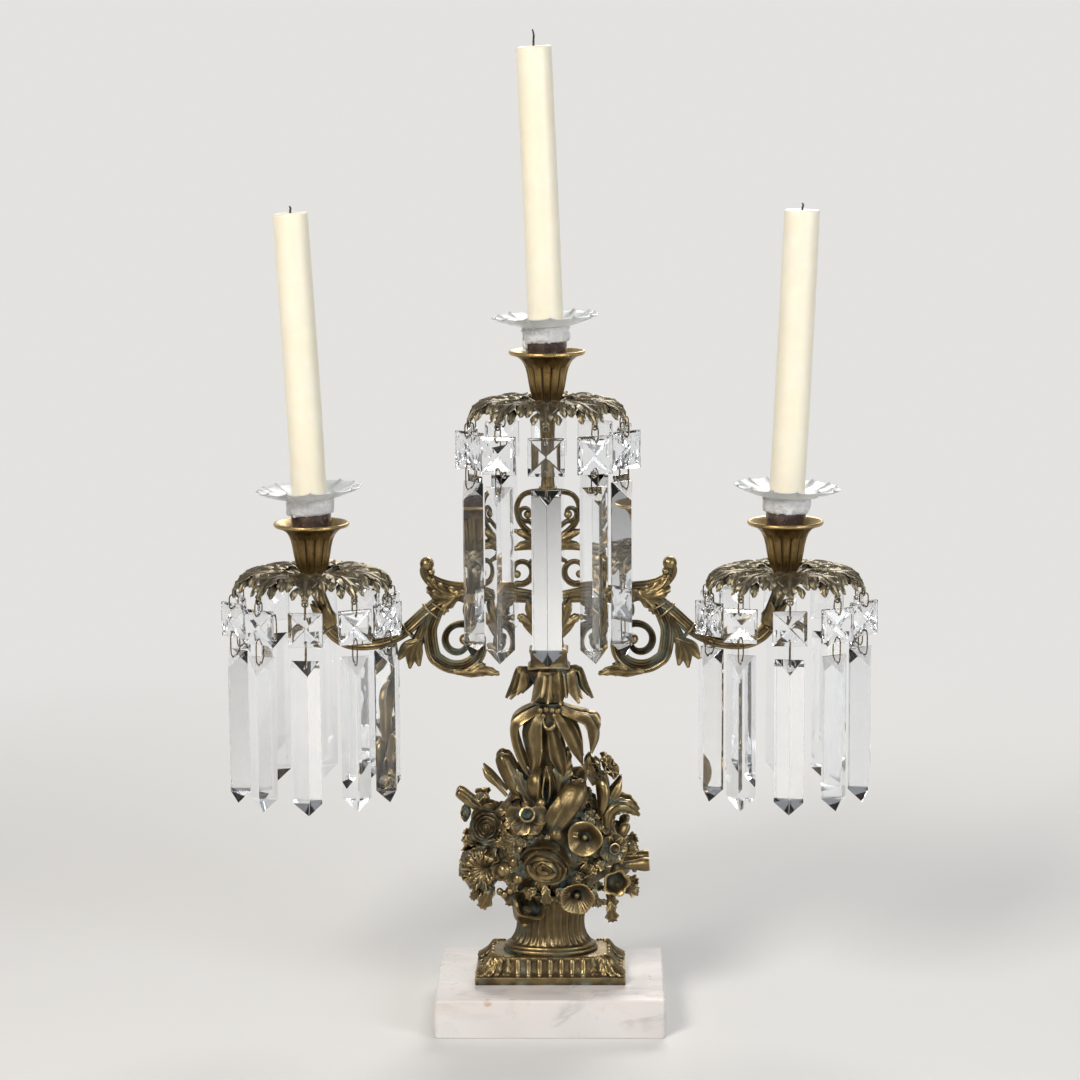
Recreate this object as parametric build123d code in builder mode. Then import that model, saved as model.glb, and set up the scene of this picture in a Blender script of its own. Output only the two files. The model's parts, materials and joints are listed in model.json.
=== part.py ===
"""Three-light girandole candle holder: marble plinth, cast flower stem, scrolled arms and crystal drops.

Millimetres. +Z is up, +X is to the right as seen from the front, and the front looks along -Y.
The origin is the centre of the plinth's underside.
"""

import os
from math import atan2, cos, degrees, hypot, pi, radians, sin

from build123d import *

os.makedirs("parts", exist_ok=True)

# Marble plinth
base_width = 144
base_depth = 114
base_height = 24.5
base_edge = 1.6

# Tie rod, washer and nut
rod_radius = 3
rod_clearance = 0.4
nut_across_flats = 10
nut_height = 5
washer_radius = 9
washer_thickness = 1.5
recess_radius = 13
recess_depth = 12
rod_end_below_nut = 2
thread_clearance = 0.05

# Cast foot
slab_width = 95
slab_depth = 52
slab_height = 5
foot_height = 16.5
platform_width = 72
platform_depth = 38.6
reed_pitch = 6.9
reed_width = 3.6
reed_thickness = 1.4
foot_wall = 4

# Ribbed basket
basket_width = 57
basket_height = 39
basket_waist = 41.6
basket_ring_width = 59
basket_ring_height = 7
basket_ribs = 12
rib_relief = 0.07
oval = 0.62
pocket_depth = 6
pocket_width = 42
seat_gap = 0.3

# Bouquet
bouquet_height = 92
bouquet_width = 100
bouquet_oval = 0.56
bouquet_neck = 13

# Spray of drooping leaves
spray_height = 30
spray_neck = 17
spray_leaves = 8
spray_reach = 25.5
spray_drop = 33
spray_leaf_width = 12
leaf_thickness = 1.8

# Palm-leaf capital
capital_height = 22
capital_width = 47
capital_leaves = 12
capital_wall = 2
notch_width = 6.8
notch_height = 8.8

# Branch casting
block_width = 24
block_depth = 18
block_height = 13
branch_height = 164.2
stem_radius = 3.7
stem_top_radius = 5
stem_ribs = 6
lyre_width = 42
lyre_rise = 101
branch_depth = 6

# Arms
arm_reach = 148
arm_rise = 57.2
arm_root = 46
arm_depth = 6.8
arm_stem_lean = 20
scroll_radius = 19.6
scroll_eye = 4.6
scroll_bevel = 1.4

# Prism canopies
canopy_leaves = 10
canopy_radius = 51.6
canopy_hub_radius = 22
canopy_thickness = 1.8
canopy_leaf_thickness = 1.5
canopy_leaf_width = 18
canopy_leaf_rise = 3.2
canopy_leaf_drop = 10.6
drop_hole_radius = 1.6
drop_hole_above_tip = 3.4

# Sockets
socket_height = 33.5
socket_radius = 23.7
socket_flutes = 9
flute_relief = 0.08
socket_bore = 8.2
socket_bore_depth = 23

# Nozzles, wax rings, bobeches and candles
nozzle_wall = 1.1
nozzle_rise = 7
nozzle_depth = 8.6
nozzle_floor = 2
nozzle_spigot_radius = 7.2
nozzle_spigot_length = 11
candle_radius = 11.1
candle_clearance = 0.3
wax_height = 8.5
wax_radius = 15.4
bobeche_radius = 33.5
bobeche_height = 7.5
bobeche_thickness = 2
bobeche_scallops = 12
bobeche_foot_radius = 17
bobeche_clearance = 0.5
wick_radius = 0.8
centre_candle_length = 193
side_candle_length = 200
centre_wick_length = 10
side_wick_length = 4
centre_lean = -2.1
side_lean = 2.75

# Crystal drops
wire = 0.7
link_half_depth = 2.9
pivot_below_hole = 0.25
button_below_pivot = 5.4
button_edge = 2.6
button_bevel = 2.4
button_bevel_thickness = 4.4
button_thickness = 7.4
button_hole_inset = 3.4
glass_hole_radius = 1.0
centre_button_width = 22.5
centre_button_height = 23.4
side_button_width = 21
side_button_height = 21.3
prism_gap = 8
prism_width = 18.5
prism_depth = 9
prism_point = 9
prism_slope = 11
prism_land = 1
prism_hole_inset = 4.5
centre_prism_length = 110
side_prism_length = 98.5
drop_twist = 9

# Heights of the joints between the castings
foot_z = base_height
basket_z = foot_z + foot_height
bouquet_z = basket_z + basket_height
spray_z = bouquet_z + bouquet_height
capital_z = spray_z + spray_height
branch_z = capital_z + capital_height
arm_z = branch_z + arm_root
centre_seat_z = branch_z + branch_height
side_seat_z = branch_z + arm_rise
rod_hole = rod_radius + rod_clearance


def star(points, relief):
    """Corners of a ribbed section of unit radius: crests on the circle, hollows inside it."""
    corners = []
    for step in range(2 * points):
        reach = 1 - relief * (step % 2)
        angle = pi * step / points
        corners.append((reach * cos(angle), reach * sin(angle)))
    return corners


def stack(levels, corners, squash=1.0, plane=Plane.XY):
    """Sections of one shape at the (height, radius) levels, joined by flat facets."""
    with BuildPart() as tower:
        for height, radius in levels:
            with BuildSketch(plane.offset(height)):
                with BuildLine():
                    Polyline([(radius * x, radius * squash * y) for x, y in corners], close=True)
                make_face()
        loft(ruled=True)
    return tower.part


def side_points(path, widths, inset):
    """Outline of a bar along the path, with the given widths at even steps, drawn in by the inset."""
    steps = len(widths) - 1
    left = []
    right = []
    for step, width in enumerate(widths):
        place = path @ (step / steps)
        heading = path % (step / steps)
        half = width / 2 - min(inset, 0.3 * width)
        left.append((place.X - half * heading.Z, place.Z + half * heading.X))
        right.append((place.X + half * heading.Z, place.Z - half * heading.X))
    return left + right[::-1]


def scroll(points, widths, depth, steps=0):
    """A cast scroll bar in the plane of the arms, through (x, z) points, thickest at its middle."""
    path = Spline([Vector(x, 0, z) for x, z in points])
    if steps:
        last = len(widths) - 1
        spread = []
        for step in range(steps + 1):
            place = last * step / steps
            low = min(int(place), last - 1)
            spread.append(widths[low] + (widths[low + 1] - widths[low]) * (place - low))
        widths = spread
    with BuildPart() as bar:
        for level, inset in ((-depth / 2, scroll_bevel), (0, 0), (depth / 2, scroll_bevel)):
            with BuildSketch(Plane.XZ.offset(level)):
                with BuildLine():
                    Polyline(side_points(path, widths, inset), close=True)
                make_face()
        loft(ruled=True)
    return bar.part


def spiral(centre, start_radius, end_radius, start, turn, count=12, ease=1.3):
    """Points of a volute that winds in from the start angle through the turn, in degrees."""
    points = []
    for step in range(count + 1):
        part = step / count
        radius = start_radius + (end_radius - start_radius) * part ** ease
        angle = radians(start + turn * part)
        points.append((centre[0] + radius * cos(angle), centre[1] + radius * sin(angle)))
    return points


def eye(centre, radius, depth):
    """The round boss at the heart of a volute."""
    with BuildPart() as boss:
        with BuildSketch(Plane.XZ.offset(-depth / 2)):
            with Locations(centre):
                RegularPolygon(radius, 8)
        extrude(amount=depth)
    return boss.part


def band(points, thickness):
    """A closed strip of even thickness below a line of (x, z) points."""
    lower = []
    for step, point in enumerate(points):
        before = points[max(step - 1, 0)]
        after = points[min(step + 1, len(points) - 1)]
        run = hypot(after[0] - before[0], after[1] - before[1])
        across = ((after[1] - before[1]) / run, -(after[0] - before[0]) / run)
        lower.append((point[0] + thickness * across[0], point[1] + thickness * across[1]))
    return points + lower[::-1]


def leaf(profile, outline, thickness, facing):
    """A bent leaf: its side profile cut to its outline, given as (distance along, half width)."""
    widest = max(half for along, half in outline)
    with BuildPart() as blade:
        with BuildSketch(Plane.XZ):
            with BuildLine():
                Polyline(band(profile, thickness), close=True)
            make_face()
        extrude(amount=widest, both=True)
        with BuildSketch(facing):
            with BuildLine():
                edge = [(along, half) for along, half in outline]
                Polyline(edge + [(along, -half) for along, half in outline[::-1]], close=True)
            make_face()
        extrude(amount=2 * canopy_radius, both=True, mode=Mode.INTERSECT)
    return blade.part


upright = Plane(origin=(0, 0, 0), x_dir=(0, 0, 1), z_dir=(1, 0, 0))


def finish(piece, name):
    """Name a finished piece and write it."""
    piece.label = name
    export_step(piece, "parts/" + name + ".step")


# Marble plinth, with a stepped hole for the tie rod and its nut
with BuildPart() as marble_base:
    with BuildSketch():
        Rectangle(base_width, base_depth)
    extrude(amount=base_height)
    chamfer(marble_base.edges().filter_by(Axis.Z), base_edge)
    chamfer(marble_base.faces().sort_by(Axis.Z)[-1].edges(), base_edge)
    with Locations(Plane(origin=(0, 0, 0), z_dir=(0, 0, -1))):
        CounterBoreHole(rod_hole, recess_radius, recess_depth)
finish(marble_base.part, "marble_base")

# Tie rod that draws the castings down onto the plinth
washer_z = recess_depth - washer_thickness
nut_z = washer_z - nut_height
rod_top = branch_z + block_height - 2
with BuildPart() as tie_rod:
    with BuildSketch(Plane.XY.offset(nut_z - rod_end_below_nut)):
        Circle(rod_radius)
    extrude(amount=rod_top - nut_z + rod_end_below_nut)
finish(tie_rod.part, "tie_rod")

with BuildPart() as washer:
    with BuildSketch(Plane.XY.offset(washer_z)):
        RegularPolygon(washer_radius, 16)
        Circle(rod_hole, mode=Mode.SUBTRACT)
    extrude(amount=washer_thickness)
finish(washer.part, "washer")

with BuildPart() as nut:
    with BuildSketch(Plane.XY.offset(nut_z)):
        RegularPolygon(nut_across_flats / 2, 6, major_radius=False)
        Circle(rod_radius + thread_clearance, mode=Mode.SUBTRACT)
    extrude(amount=nut_height)
finish(nut.part, "nut")

# Foot: a slab, a hollow cove with reeds and corner leaves, and a platform for the basket
slab_top = foot_z + slab_height
cove_height = foot_height - slab_height
depth_share = (slab_depth - platform_depth) / (slab_width - platform_width)
cove = [(0, cove_height - 1.8), (3, 4.2), (8.5, 0)]
corner_half = hypot(platform_width, platform_depth) / 2
corner_turn = degrees(atan2(platform_depth, platform_width))
corner_leaf = leaf(
    [(corner_half - 6, 11), (corner_half, 8.4), (corner_half + 6, 3.6), (corner_half + 11.5, 3.0)],
    [(corner_half - 6, 4), (corner_half + 1, 6.5), (corner_half + 7, 6), (corner_half + 11.5, 3)],
    4.5,
    Plane.XY,
)
with BuildPart() as foot:
    with BuildSketch(Plane.XY.offset(foot_z)):
        Rectangle(slab_width, slab_depth)
    extrude(amount=slab_height)
    for reach, rise in cove:
        with BuildSketch(Plane.XY.offset(slab_top + rise)):
            Rectangle(platform_width + 2 * reach, platform_depth + 2 * reach * depth_share)
    loft(ruled=True)
    with BuildSketch(Plane.XY.offset(basket_z - 2)):
        Rectangle(platform_width, platform_depth)
    extrude(amount=2)
    for edge, length, share, sides in (
        (platform_depth / 2, platform_width, depth_share, (-90, 90)),
        (platform_width / 2, platform_depth, 1, (0, 180)),
    ):
        count = int(length / 2 / reed_pitch - 1)
        line = [(reach * share + 0.7 * reed_thickness, rise + 0.7 * reed_thickness) for reach, rise in cove]
        reed = [(edge + reach, rise) for reach, rise in band(line, 2 * reed_thickness)]
        for side in sides:
            for place in range(-count, count + 1):
                turned = Plane(Location((0, 0, slab_top), (0, 0, side)))
                origin = turned.from_local_coords((0, place * reed_pitch, 0))
                with BuildSketch(Plane(origin=origin, x_dir=turned.x_dir, z_dir=-turned.y_dir)):
                    with BuildLine():
                        Polyline(reed, close=True)
                    make_face()
    extrude(amount=reed_width / 2, both=True)
    for turn in (corner_turn, 180 - corner_turn, 180 + corner_turn, -corner_turn):
        with Locations(Location((0, 0, slab_top), (0, 0, turn))):
            add(corner_leaf)
    with BuildSketch(Plane.XY.offset(foot_z)):
        Rectangle(platform_width - 2 * foot_wall, platform_depth - 2 * foot_wall)
    extrude(amount=foot_height - foot_wall, mode=Mode.SUBTRACT)
    with BuildSketch(Plane.XY.offset(foot_z)):
        RegularPolygon(rod_hole, 8, major_radius=False)
    extrude(amount=foot_height, mode=Mode.SUBTRACT)
finish(foot.part, "foot")

# Oval basket with a ring moulding, vertical ribs and a flared rim
ring_z = basket_z + basket_ring_height
rim_z = basket_z + basket_height
ring = stack(
    [
        (basket_z, basket_ring_width / 2 - 1),
        (basket_z + basket_ring_height / 2, basket_ring_width / 2),
        (ring_z, basket_ring_width / 2 - 3),
    ],
    star(basket_ribs, 0),
    oval,
)
ribbed = stack(
    [
        (ring_z - 1, basket_waist / 2 + 4),
        (basket_z + basket_height / 2, basket_waist / 2),
        (basket_z + 0.75 * basket_height, basket_waist / 2 + 2.5),
        (rim_z, basket_width / 2),
    ],
    star(basket_ribs, rib_relief),
    oval,
)
with BuildPart() as basket:
    add(ring)
    add(ribbed)
    with BuildSketch(Plane.XY.offset(rim_z - pocket_depth)):
        Ellipse(pocket_width / 2, pocket_width * oval / 2)
    extrude(amount=pocket_depth, mode=Mode.SUBTRACT)
    with BuildSketch(Plane.XY.offset(basket_z)):
        RegularPolygon(rod_hole, 8, major_radius=False)
    extrude(amount=basket_height, mode=Mode.SUBTRACT)
finish(basket.part, "basket")


# Spray of lily leaves that droop round a narrow neck
spray_stalk = stack(
    [
        (spray_z, bouquet_neck / 2),
        (spray_z + 9, bouquet_neck / 2 + 1),
        (spray_z + 19, spray_neck / 2 + 2.5),
        (spray_z + 25, spray_neck / 2),
        (capital_z, spray_neck / 2 + 1.5),
    ],
    star(4, 0),
)
spray_leaf = leaf(
    [
        (4, 3),
        (spray_reach * 0.55, 6),
        (spray_reach * 0.88, 1),
        (spray_reach, -9),
        (spray_reach - 1, -spray_drop * 0.7),
        (spray_reach - 4, -spray_drop),
    ],
    [
        (8, spray_leaf_width * 0.3),
        (0, spray_leaf_width * 0.45),
        (-9, spray_leaf_width * 0.5),
        (-spray_drop * 0.66, spray_leaf_width * 0.34),
        (-spray_drop - 2, 0.5),
    ],
    leaf_thickness,
    upright,
)
with BuildPart() as leaf_spray:
    add(spray_stalk)
    with PolarLocations(0, spray_leaves, start_angle=360 / spray_leaves / 2):
        with Locations((0, 0, spray_z + 15)):
            add(spray_leaf)
    with BuildSketch(Plane.XY.offset(spray_z)):
        RegularPolygon(rod_hole, 8, major_radius=False)
    extrude(amount=spray_height, mode=Mode.SUBTRACT)
finish(leaf_spray.part, "leaf_spray")


def blossom(radius, height, petals, relief, cup=0.55):
    """A flower head that opens along +Z, with petals round a hollow cup."""
    bloom = stack([(-height, radius * 0.45), (0, radius)], star(petals, relief))
    hollow = stack([(-height * cup, radius * 0.2), (0.01, radius * 0.85)], star(petals, relief))
    with BuildPart() as flower:
        add(bloom)
        add(hollow, mode=Mode.SUBTRACT)
    return flower.part


def rose(radius, height):
    """A full rose: three turned rounds of petals, each smaller and higher than the last."""
    with BuildPart() as flower:
        for layer, share in enumerate((1, 0.72, 0.42)):
            with BuildSketch(Plane.XY.offset(-height + layer * height * 0.36)):
                RegularPolygon(radius * share, 7, rotation=25 * layer)
            extrude(amount=height * 0.45, taper=14)
    return flower.part


def bud(length, radius):
    """A closed bud that points along +Z from its stalk."""
    return stack(
        [(-3, radius * 0.4), (length * 0.4, radius), (length, radius * 0.15)], star(3, 0)
    )


# Bouquet: a mound of foliage that fills the basket, set with flowers, buds and leaves, the same back and front
neck_z = bouquet_z + bouquet_height
mound_levels = [
    (rim_z - pocket_depth + seat_gap, pocket_width / 2 - seat_gap - 0.4),
    (rim_z + seat_gap, pocket_width / 2 - seat_gap - 0.4),
    (rim_z + 3, bouquet_width * 0.31),
    (rim_z + 20, bouquet_width * 0.43),
    (rim_z + 48, bouquet_width * 0.41),
    (rim_z + 66, bouquet_width * 0.24),
    (neck_z, bouquet_neck / 2),
]
mound = stack(mound_levels, star(5, 0), bouquet_oval)
big_rose = rose(15, 13)
trumpet = blossom(11, 11, 4, 0.02, 0.8)
daisy = blossom(10.5, 8, 5, 0.22)
ruffled = blossom(13.5, 9, 5, 0.14)
cup = blossom(9, 9, 3, 0.04)
closed_bud = bud(30, 8)
finger = bud(16, 4)
tall_bud = bud(24, 4.4)
blade = stack([(-5, 2.5), (6, 5), (16, 0.6)], star(2, 0.68))
flowers = [
    (big_rose, -3.7, 23, -10),
    (trumpet, 22, 40, 6),
    (trumpet, 17, 7, -14),
    (daisy, -40, 45, 10),
    (daisy, -16.5, 56, 20),
    (ruffled, -41, 19, -4),
    (cup, 40, 32, 6),
    (cup, 38, 12, -4),
    (cup, -12, 5, -35),
]


def mound_width(rise):
    """Half width of the mound at a height above the basket's rim."""
    for (low, wide), (high, next_wide) in zip(mound_levels[2:], mound_levels[3:]):
        if low <= rim_z + rise <= high:
            return wide + (next_wide - wide) * (rim_z + rise - low) / (high - low)
    return mound_levels[2][1]


def mound_place(x, rise, tip, front):
    """Place on the mound's skin at x and a height above the rim, looking outwards."""
    wide = mound_width(rise)
    across = max(min(x / wide, 0.92), -0.92)
    deep = wide * bouquet_oval * (1 - across**2) ** 0.5
    turn = atan2(x, max(deep / bouquet_oval**2, 6))
    look = Vector(sin(turn) * cos(radians(tip)), -front * cos(turn) * cos(radians(tip)), sin(radians(tip)))
    skin = Vector(across * wide, -front * deep, rim_z + rise)
    return Plane(origin=skin + look * 5 + Vector(x - across * wide, 0, 0), z_dir=look)


# Buds and leaves that stand out round the edge: (shape, x, height above the rim, lean to the right in degrees)
sprouts = [
    (tall_bud, -24, 57, -38),
    (tall_bud, -18, 67, -20),
    (tall_bud, -36, 48, -50),
    (tall_bud, 27, 56, 30),
    (tall_bud, 4, 68, 10),
    (finger, 42, 18, 90),
    (finger, 36, 47, 42),
    (blade, 37, 32, 68),
    (blade, 36, 6, 108),
    (blade, -34, 4, -148),
]
growth = [mound]
for front in (1, -1):
    for flower, x, rise, tip in flowers:
        growth.append(flower.moved(mound_place(x, rise, tip, front).location))
    growth.append(closed_bud.moved(Location((8, -12 * front, rim_z + 47), (0, 28, 0))))
for sprout, x, rise, lean in sprouts:
    growth.append(sprout.moved(Location((x, 0, rim_z + rise), (0, lean, 0))))
with BuildPart() as bouquet:
    add(growth)
    with BuildSketch(Plane.XY.offset(rim_z - pocket_depth)):
        RegularPolygon(rod_hole, 8, major_radius=False)
    extrude(amount=bouquet_height + pocket_depth, mode=Mode.SUBTRACT)
    add([basket.part, leaf_spray.part], mode=Mode.SUBTRACT)
finish(bouquet.part, "bouquet")

# Capital: a bell of palm leaves whose points hang free
capital_bell = stack(
    [
        (branch_z, block_width / 2 + 1),
        (branch_z - 0.14 * capital_height, capital_width / 2 - 4),
        (capital_z + 0.55 * capital_height, capital_width / 2),
        (capital_z, capital_width / 2 + 0.5),
    ],
    star(capital_leaves, 0.09),
)
capital_inside = stack(
    [
        (capital_z + 0.66 * capital_height, spray_neck / 2 + 3),
        (capital_z + 0.45 * capital_height, capital_width / 2 - 2.5 * capital_wall),
        (capital_z - 1, capital_width / 2 - capital_wall),
    ],
    star(capital_leaves // 2, 0),
)
with BuildPart() as capital:
    add(capital_bell)
    add(capital_inside, mode=Mode.SUBTRACT)
    for step in range(capital_leaves):
        turn = 2 * pi * (step + 0.5) / capital_leaves
        with BuildSketch(Plane(origin=(0, 0, capital_z), x_dir=(-sin(turn), cos(turn), 0),
                               z_dir=(cos(turn), sin(turn), 0))):
            with BuildLine():
                Polyline((-notch_width / 2, -1), (0, notch_height), (notch_width / 2, -1), close=True)
            make_face()
    extrude(amount=capital_width, mode=Mode.SUBTRACT)
    with BuildSketch(Plane.XY.offset(capital_z)):
        Circle(spray_neck / 2 + 1.2)
    extrude(amount=capital_height - 1)
    with BuildSketch(Plane.XY.offset(capital_z)):
        RegularPolygon(rod_hole, 8, major_radius=False)
    extrude(amount=capital_height, mode=Mode.SUBTRACT)
finish(capital.part, "capital")


# Branch: block, calyx, lyre and the fluted centre stem that carries the middle light
core = stack(
    [
        (branch_z + block_height, stem_radius + 3),
        (branch_z + block_height + 5, stem_radius + 0.6),
        (branch_z + lyre_rise, stem_radius),
        (centre_seat_z, stem_top_radius),
    ],
    star(stem_ribs, flute_relief),
)
half_lyre = lyre_width / 2
lyre_z = branch_z + lyre_rise
curl = spiral((half_lyre - 3.5, branch_z + 61.5), 9, 4, -75, -330, 7)
volute = spiral((half_lyre * 0.62, lyre_z - 3.5), 5, 3.4, -90, 250, 6)
half_branch = [
    scroll([(2, branch_z + 14), (8, branch_z + 28), (10, branch_z + 38), (12.7, branch_z + 48)],
           [10, 9, 5, 1.5], branch_depth + 2),
    scroll([(4, branch_z + 20), (12, branch_z + 27), (18, branch_z + 31)], [8, 7, 1.5], branch_depth + 1),
    scroll([(4, branch_z + 22), (9, branch_z + 13)], [5, 1.2], branch_depth + 1),
    scroll([(half_lyre + 4, branch_z + 52.5)] + curl, [4, 3.8, 3.2, 2.2], branch_depth - 1, 8),
    scroll([(1, branch_z + 74), (12, branch_z + 65.5)], [3.5, 3], branch_depth - 1.6),
    scroll([(1, branch_z + 75), (11, branch_z + 78), (half_lyre, branch_z + 75.5)], [6, 5, 1.5], branch_depth + 1),
    scroll([(1, branch_z + 77), (11, branch_z + 81.5), (half_lyre, branch_z + 87)], [6, 5, 1.5], branch_depth),
    scroll([(1, branch_z + 79), (9, branch_z + 85), (half_lyre - 2, branch_z + 94), (half_lyre - 1.5, lyre_z + 1.5),
            (half_lyre - 5, lyre_z + 8.5), (9, lyre_z + 11), (0, lyre_z + 11.2)], [5, 4, 3.6, 3.4, 3.4, 3.6], branch_depth - 0.6, 7),
    scroll([(1, lyre_z - 10)] + volute, [3, 3, 2.4, 1.8], branch_depth - 1.4, 8),
    eye(volute[-1], 2.2, branch_depth),
    eye(curl[-1], 2.4, branch_depth),
]
with BuildPart() as branch:
    with BuildSketch(Plane.XY.offset(branch_z)):
        Rectangle(block_width, block_depth)
    extrude(amount=block_height)
    chamfer(branch.faces().sort_by(Axis.Z)[-1].edges(), 1.2)
    add([core] + half_branch)
    add([piece.mirror(Plane.YZ) for piece in half_branch])
    with BuildSketch(Plane.XY.offset(branch_z)):
        RegularPolygon(rod_hole, 8, major_radius=False)
    extrude(amount=block_height - 1.5, mode=Mode.SUBTRACT)
finish(branch.part, "branch")

# Arms: a leaf wing, a volute with its tendril, a husk and a fluted stem that leans out to its light
hook_x = arm_reach - 7
stem_plane = Plane(
    origin=(arm_reach, 0, side_seat_z), x_dir=(cos(radians(arm_stem_lean)), 0, -sin(radians(arm_stem_lean))),
    z_dir=(sin(radians(arm_stem_lean)), 0, cos(radians(arm_stem_lean)))
)
side_stem = stack([(-29, stem_radius + 0.3), (3, stem_top_radius)], star(stem_ribs, flute_relief), 1.0, stem_plane)
arm_volute = spiral((54, arm_z - 30), scroll_radius, scroll_eye, -6, -400)
arm_strokes = [
    scroll([(9, arm_z - 1), (39, arm_z + 1), (58, arm_z + 4.5), (72, arm_z + 8), (79, arm_z + 12.5),
            (80, arm_z + 18), (76, arm_z + 19)], [9, 12, 12.5, 11, 8, 6, 4.5, 4, 3], arm_depth),
    eye((76, arm_z + 18.4), 3.8, arm_depth),
    scroll([(50, arm_z + 1), (65, arm_z + 2), (74, arm_z + 3.5)], [7, 7, 1.5], arm_depth + 1),
    scroll([(63, arm_z + 3), (70.5, arm_z - 8)] + arm_volute,
           [7, 8.4, 8.6, 8.6, 6.5, 4.2, 4.4, 4.6, 4, 3], arm_depth, 13),
    eye(arm_volute[-1], scroll_eye * 0.8, arm_depth + 1),
    scroll([(60, arm_z + 1), (77, arm_z - 11.5), (90, arm_z - 22.5), (hook_x - 37, arm_z - 28.5),
            (hook_x - 23, arm_z - 29.5), (hook_x - 10, arm_z - 25.5), (hook_x - 2.5, arm_z - 14)],
           [9, 8, 7.5, 9, 10, 10, 9, 8], arm_depth + 1.2),
    scroll([(hook_x - 2, arm_z - 17), (hook_x + 5, arm_z - 20), (hook_x + 9, arm_z - 26), (hook_x + 7, arm_z - 31)],
           [6, 4.5, 3.2, 1.6], arm_depth - 1.5),
    scroll([(77, arm_z - 12), (81, arm_z - 24), (86, arm_z - 35), (90, arm_z - 45)], [3, 7.5, 9.5, 4], arm_depth - 0.4),
    scroll([(84, arm_z - 30), (93, arm_z - 38)], [6, 1.6], arm_depth - 1),
    scroll([(44, arm_z - 3), (50.5, arm_z - 6.5), (51.5, arm_z - 11.5), (45.5, arm_z - 15.5)], [5, 4, 3.2, 2],
           arm_depth - 1.5),
    scroll([(55, arm_z - 48.5), (43, arm_z - 48), (31, arm_z - 50)], [5, 6, 1.2], arm_depth - 0.8),
]
with BuildPart() as arm_right:
    add([side_stem] + arm_strokes)
    split(bisect_by=Plane.XY.offset(side_seat_z), keep=Keep.BOTTOM)
    add(branch.part, mode=Mode.SUBTRACT)
finish(arm_right.part, "arm_right")

with BuildPart() as arm_left:
    mirror(arm_right.part, about=Plane.YZ)
finish(arm_left.part, "arm_left")

# Prism canopy: a saucer with ten arching leaves, each pierced near its tip for a drop
canopy_leaf = leaf(
    [
        (canopy_hub_radius - 4, canopy_thickness),
        (canopy_radius - 13, canopy_thickness + canopy_leaf_rise),
        (canopy_radius - 1, 3.8 - canopy_leaf_drop + drop_hole_above_tip),
        (canopy_radius, -canopy_leaf_drop),
    ],
    [
        (canopy_hub_radius - 4, canopy_leaf_width * 0.3),
        (canopy_radius - 14, canopy_leaf_width * 0.5),
        (canopy_radius - 4, canopy_leaf_width * 0.2),
        (canopy_radius + 2, canopy_leaf_width * 0.16),
    ],
    canopy_leaf_thickness,
    Plane.XY,
)
hole_drop = canopy_leaf_drop - drop_hole_above_tip
hub = stack([(0, canopy_hub_radius - 1.5), (canopy_thickness, canopy_hub_radius)], star(canopy_leaves, 0))


def canopy(place):
    """One canopy with its saucer's underside at the place."""
    leaves = [canopy_leaf.rotate(Axis.Z, 360 * step / canopy_leaves - 90) for step in range(canopy_leaves)]
    with BuildPart() as crown:
        add([hub] + leaves)
        for step in range(canopy_leaves):
            turn = 2 * pi * step / canopy_leaves - pi / 2
            with BuildSketch(Plane(origin=(0, 0, -hole_drop), x_dir=(-sin(turn), cos(turn), 0),
                                   z_dir=(cos(turn), sin(turn), 0))):
                RegularPolygon(drop_hole_radius, 4)
        extrude(amount=canopy_radius + 2, mode=Mode.SUBTRACT)
    return crown.part.moved(place)


# Fluted socket with a flared lip and a stepped bore for the nozzle
cup_body = stack(
    [(0, 6.5), (5, 9.2), (20, 12.6), (socket_height - 4.5, socket_radius * 0.78), (socket_height, socket_radius)],
    star(socket_flutes, flute_relief),
)
mouth = stack([(socket_height - 9.5, 13.4), (socket_height - 4.5, socket_radius * 0.78 - 2.6),
               (socket_height + 0.01, socket_radius - 2.6)], star(6, 0))


def socket(place):
    """One socket with its foot at the place."""
    with BuildPart() as tulip:
        add(cup_body)
        add(mouth, mode=Mode.SUBTRACT)
        with BuildSketch(Plane.XY.offset(socket_height - socket_bore_depth)):
            RegularPolygon(socket_bore, 12, major_radius=False)
        extrude(amount=socket_bore_depth, mode=Mode.SUBTRACT)
    return tulip.part.moved(place)


# The stack above each socket mouth leans a little, as old candles do. Heights are from the mouth.
nozzle_radius = candle_radius + candle_clearance
seat_depth = nozzle_depth - nozzle_floor
wax_z = nozzle_rise
glass_z = wax_z + wax_height
facets = 8


def nozzle(plane):
    """Cup that holds the candle, on a spigot that drops into the socket."""
    outside = stack(
        [(-nozzle_depth, nozzle_radius - 1), (-nozzle_depth + 2, nozzle_radius + nozzle_wall),
         (nozzle_rise, nozzle_radius + nozzle_wall)], star(facets, 0), 1.0, plane
    )
    with BuildPart() as cup_piece:
        add(outside)
        with BuildSketch(plane.offset(-nozzle_depth - nozzle_spigot_length)):
            RegularPolygon(nozzle_spigot_radius, facets)
        extrude(amount=nozzle_spigot_length + 1)
        with BuildSketch(plane.offset(-seat_depth)):
            RegularPolygon(nozzle_radius, 2 * facets, major_radius=False)
        extrude(amount=seat_depth + nozzle_rise, mode=Mode.SUBTRACT)
    return cup_piece.part


def wax_ring(plane):
    """Hand-pressed ring of fixing wax on the nozzle's rim."""
    outer = stack([(wax_z, wax_radius - 2), (wax_z + 0.45 * wax_height, wax_radius), (glass_z, wax_radius - 1.2)],
                  star(5, 0.05), 1.0, plane)
    with BuildPart() as ring_piece:
        add(outer)
        with BuildSketch(plane.offset(wax_z)):
            RegularPolygon(nozzle_radius + 0.1, 2 * facets, major_radius=False)
        extrude(amount=wax_height, mode=Mode.SUBTRACT)
    return ring_piece.part


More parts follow.
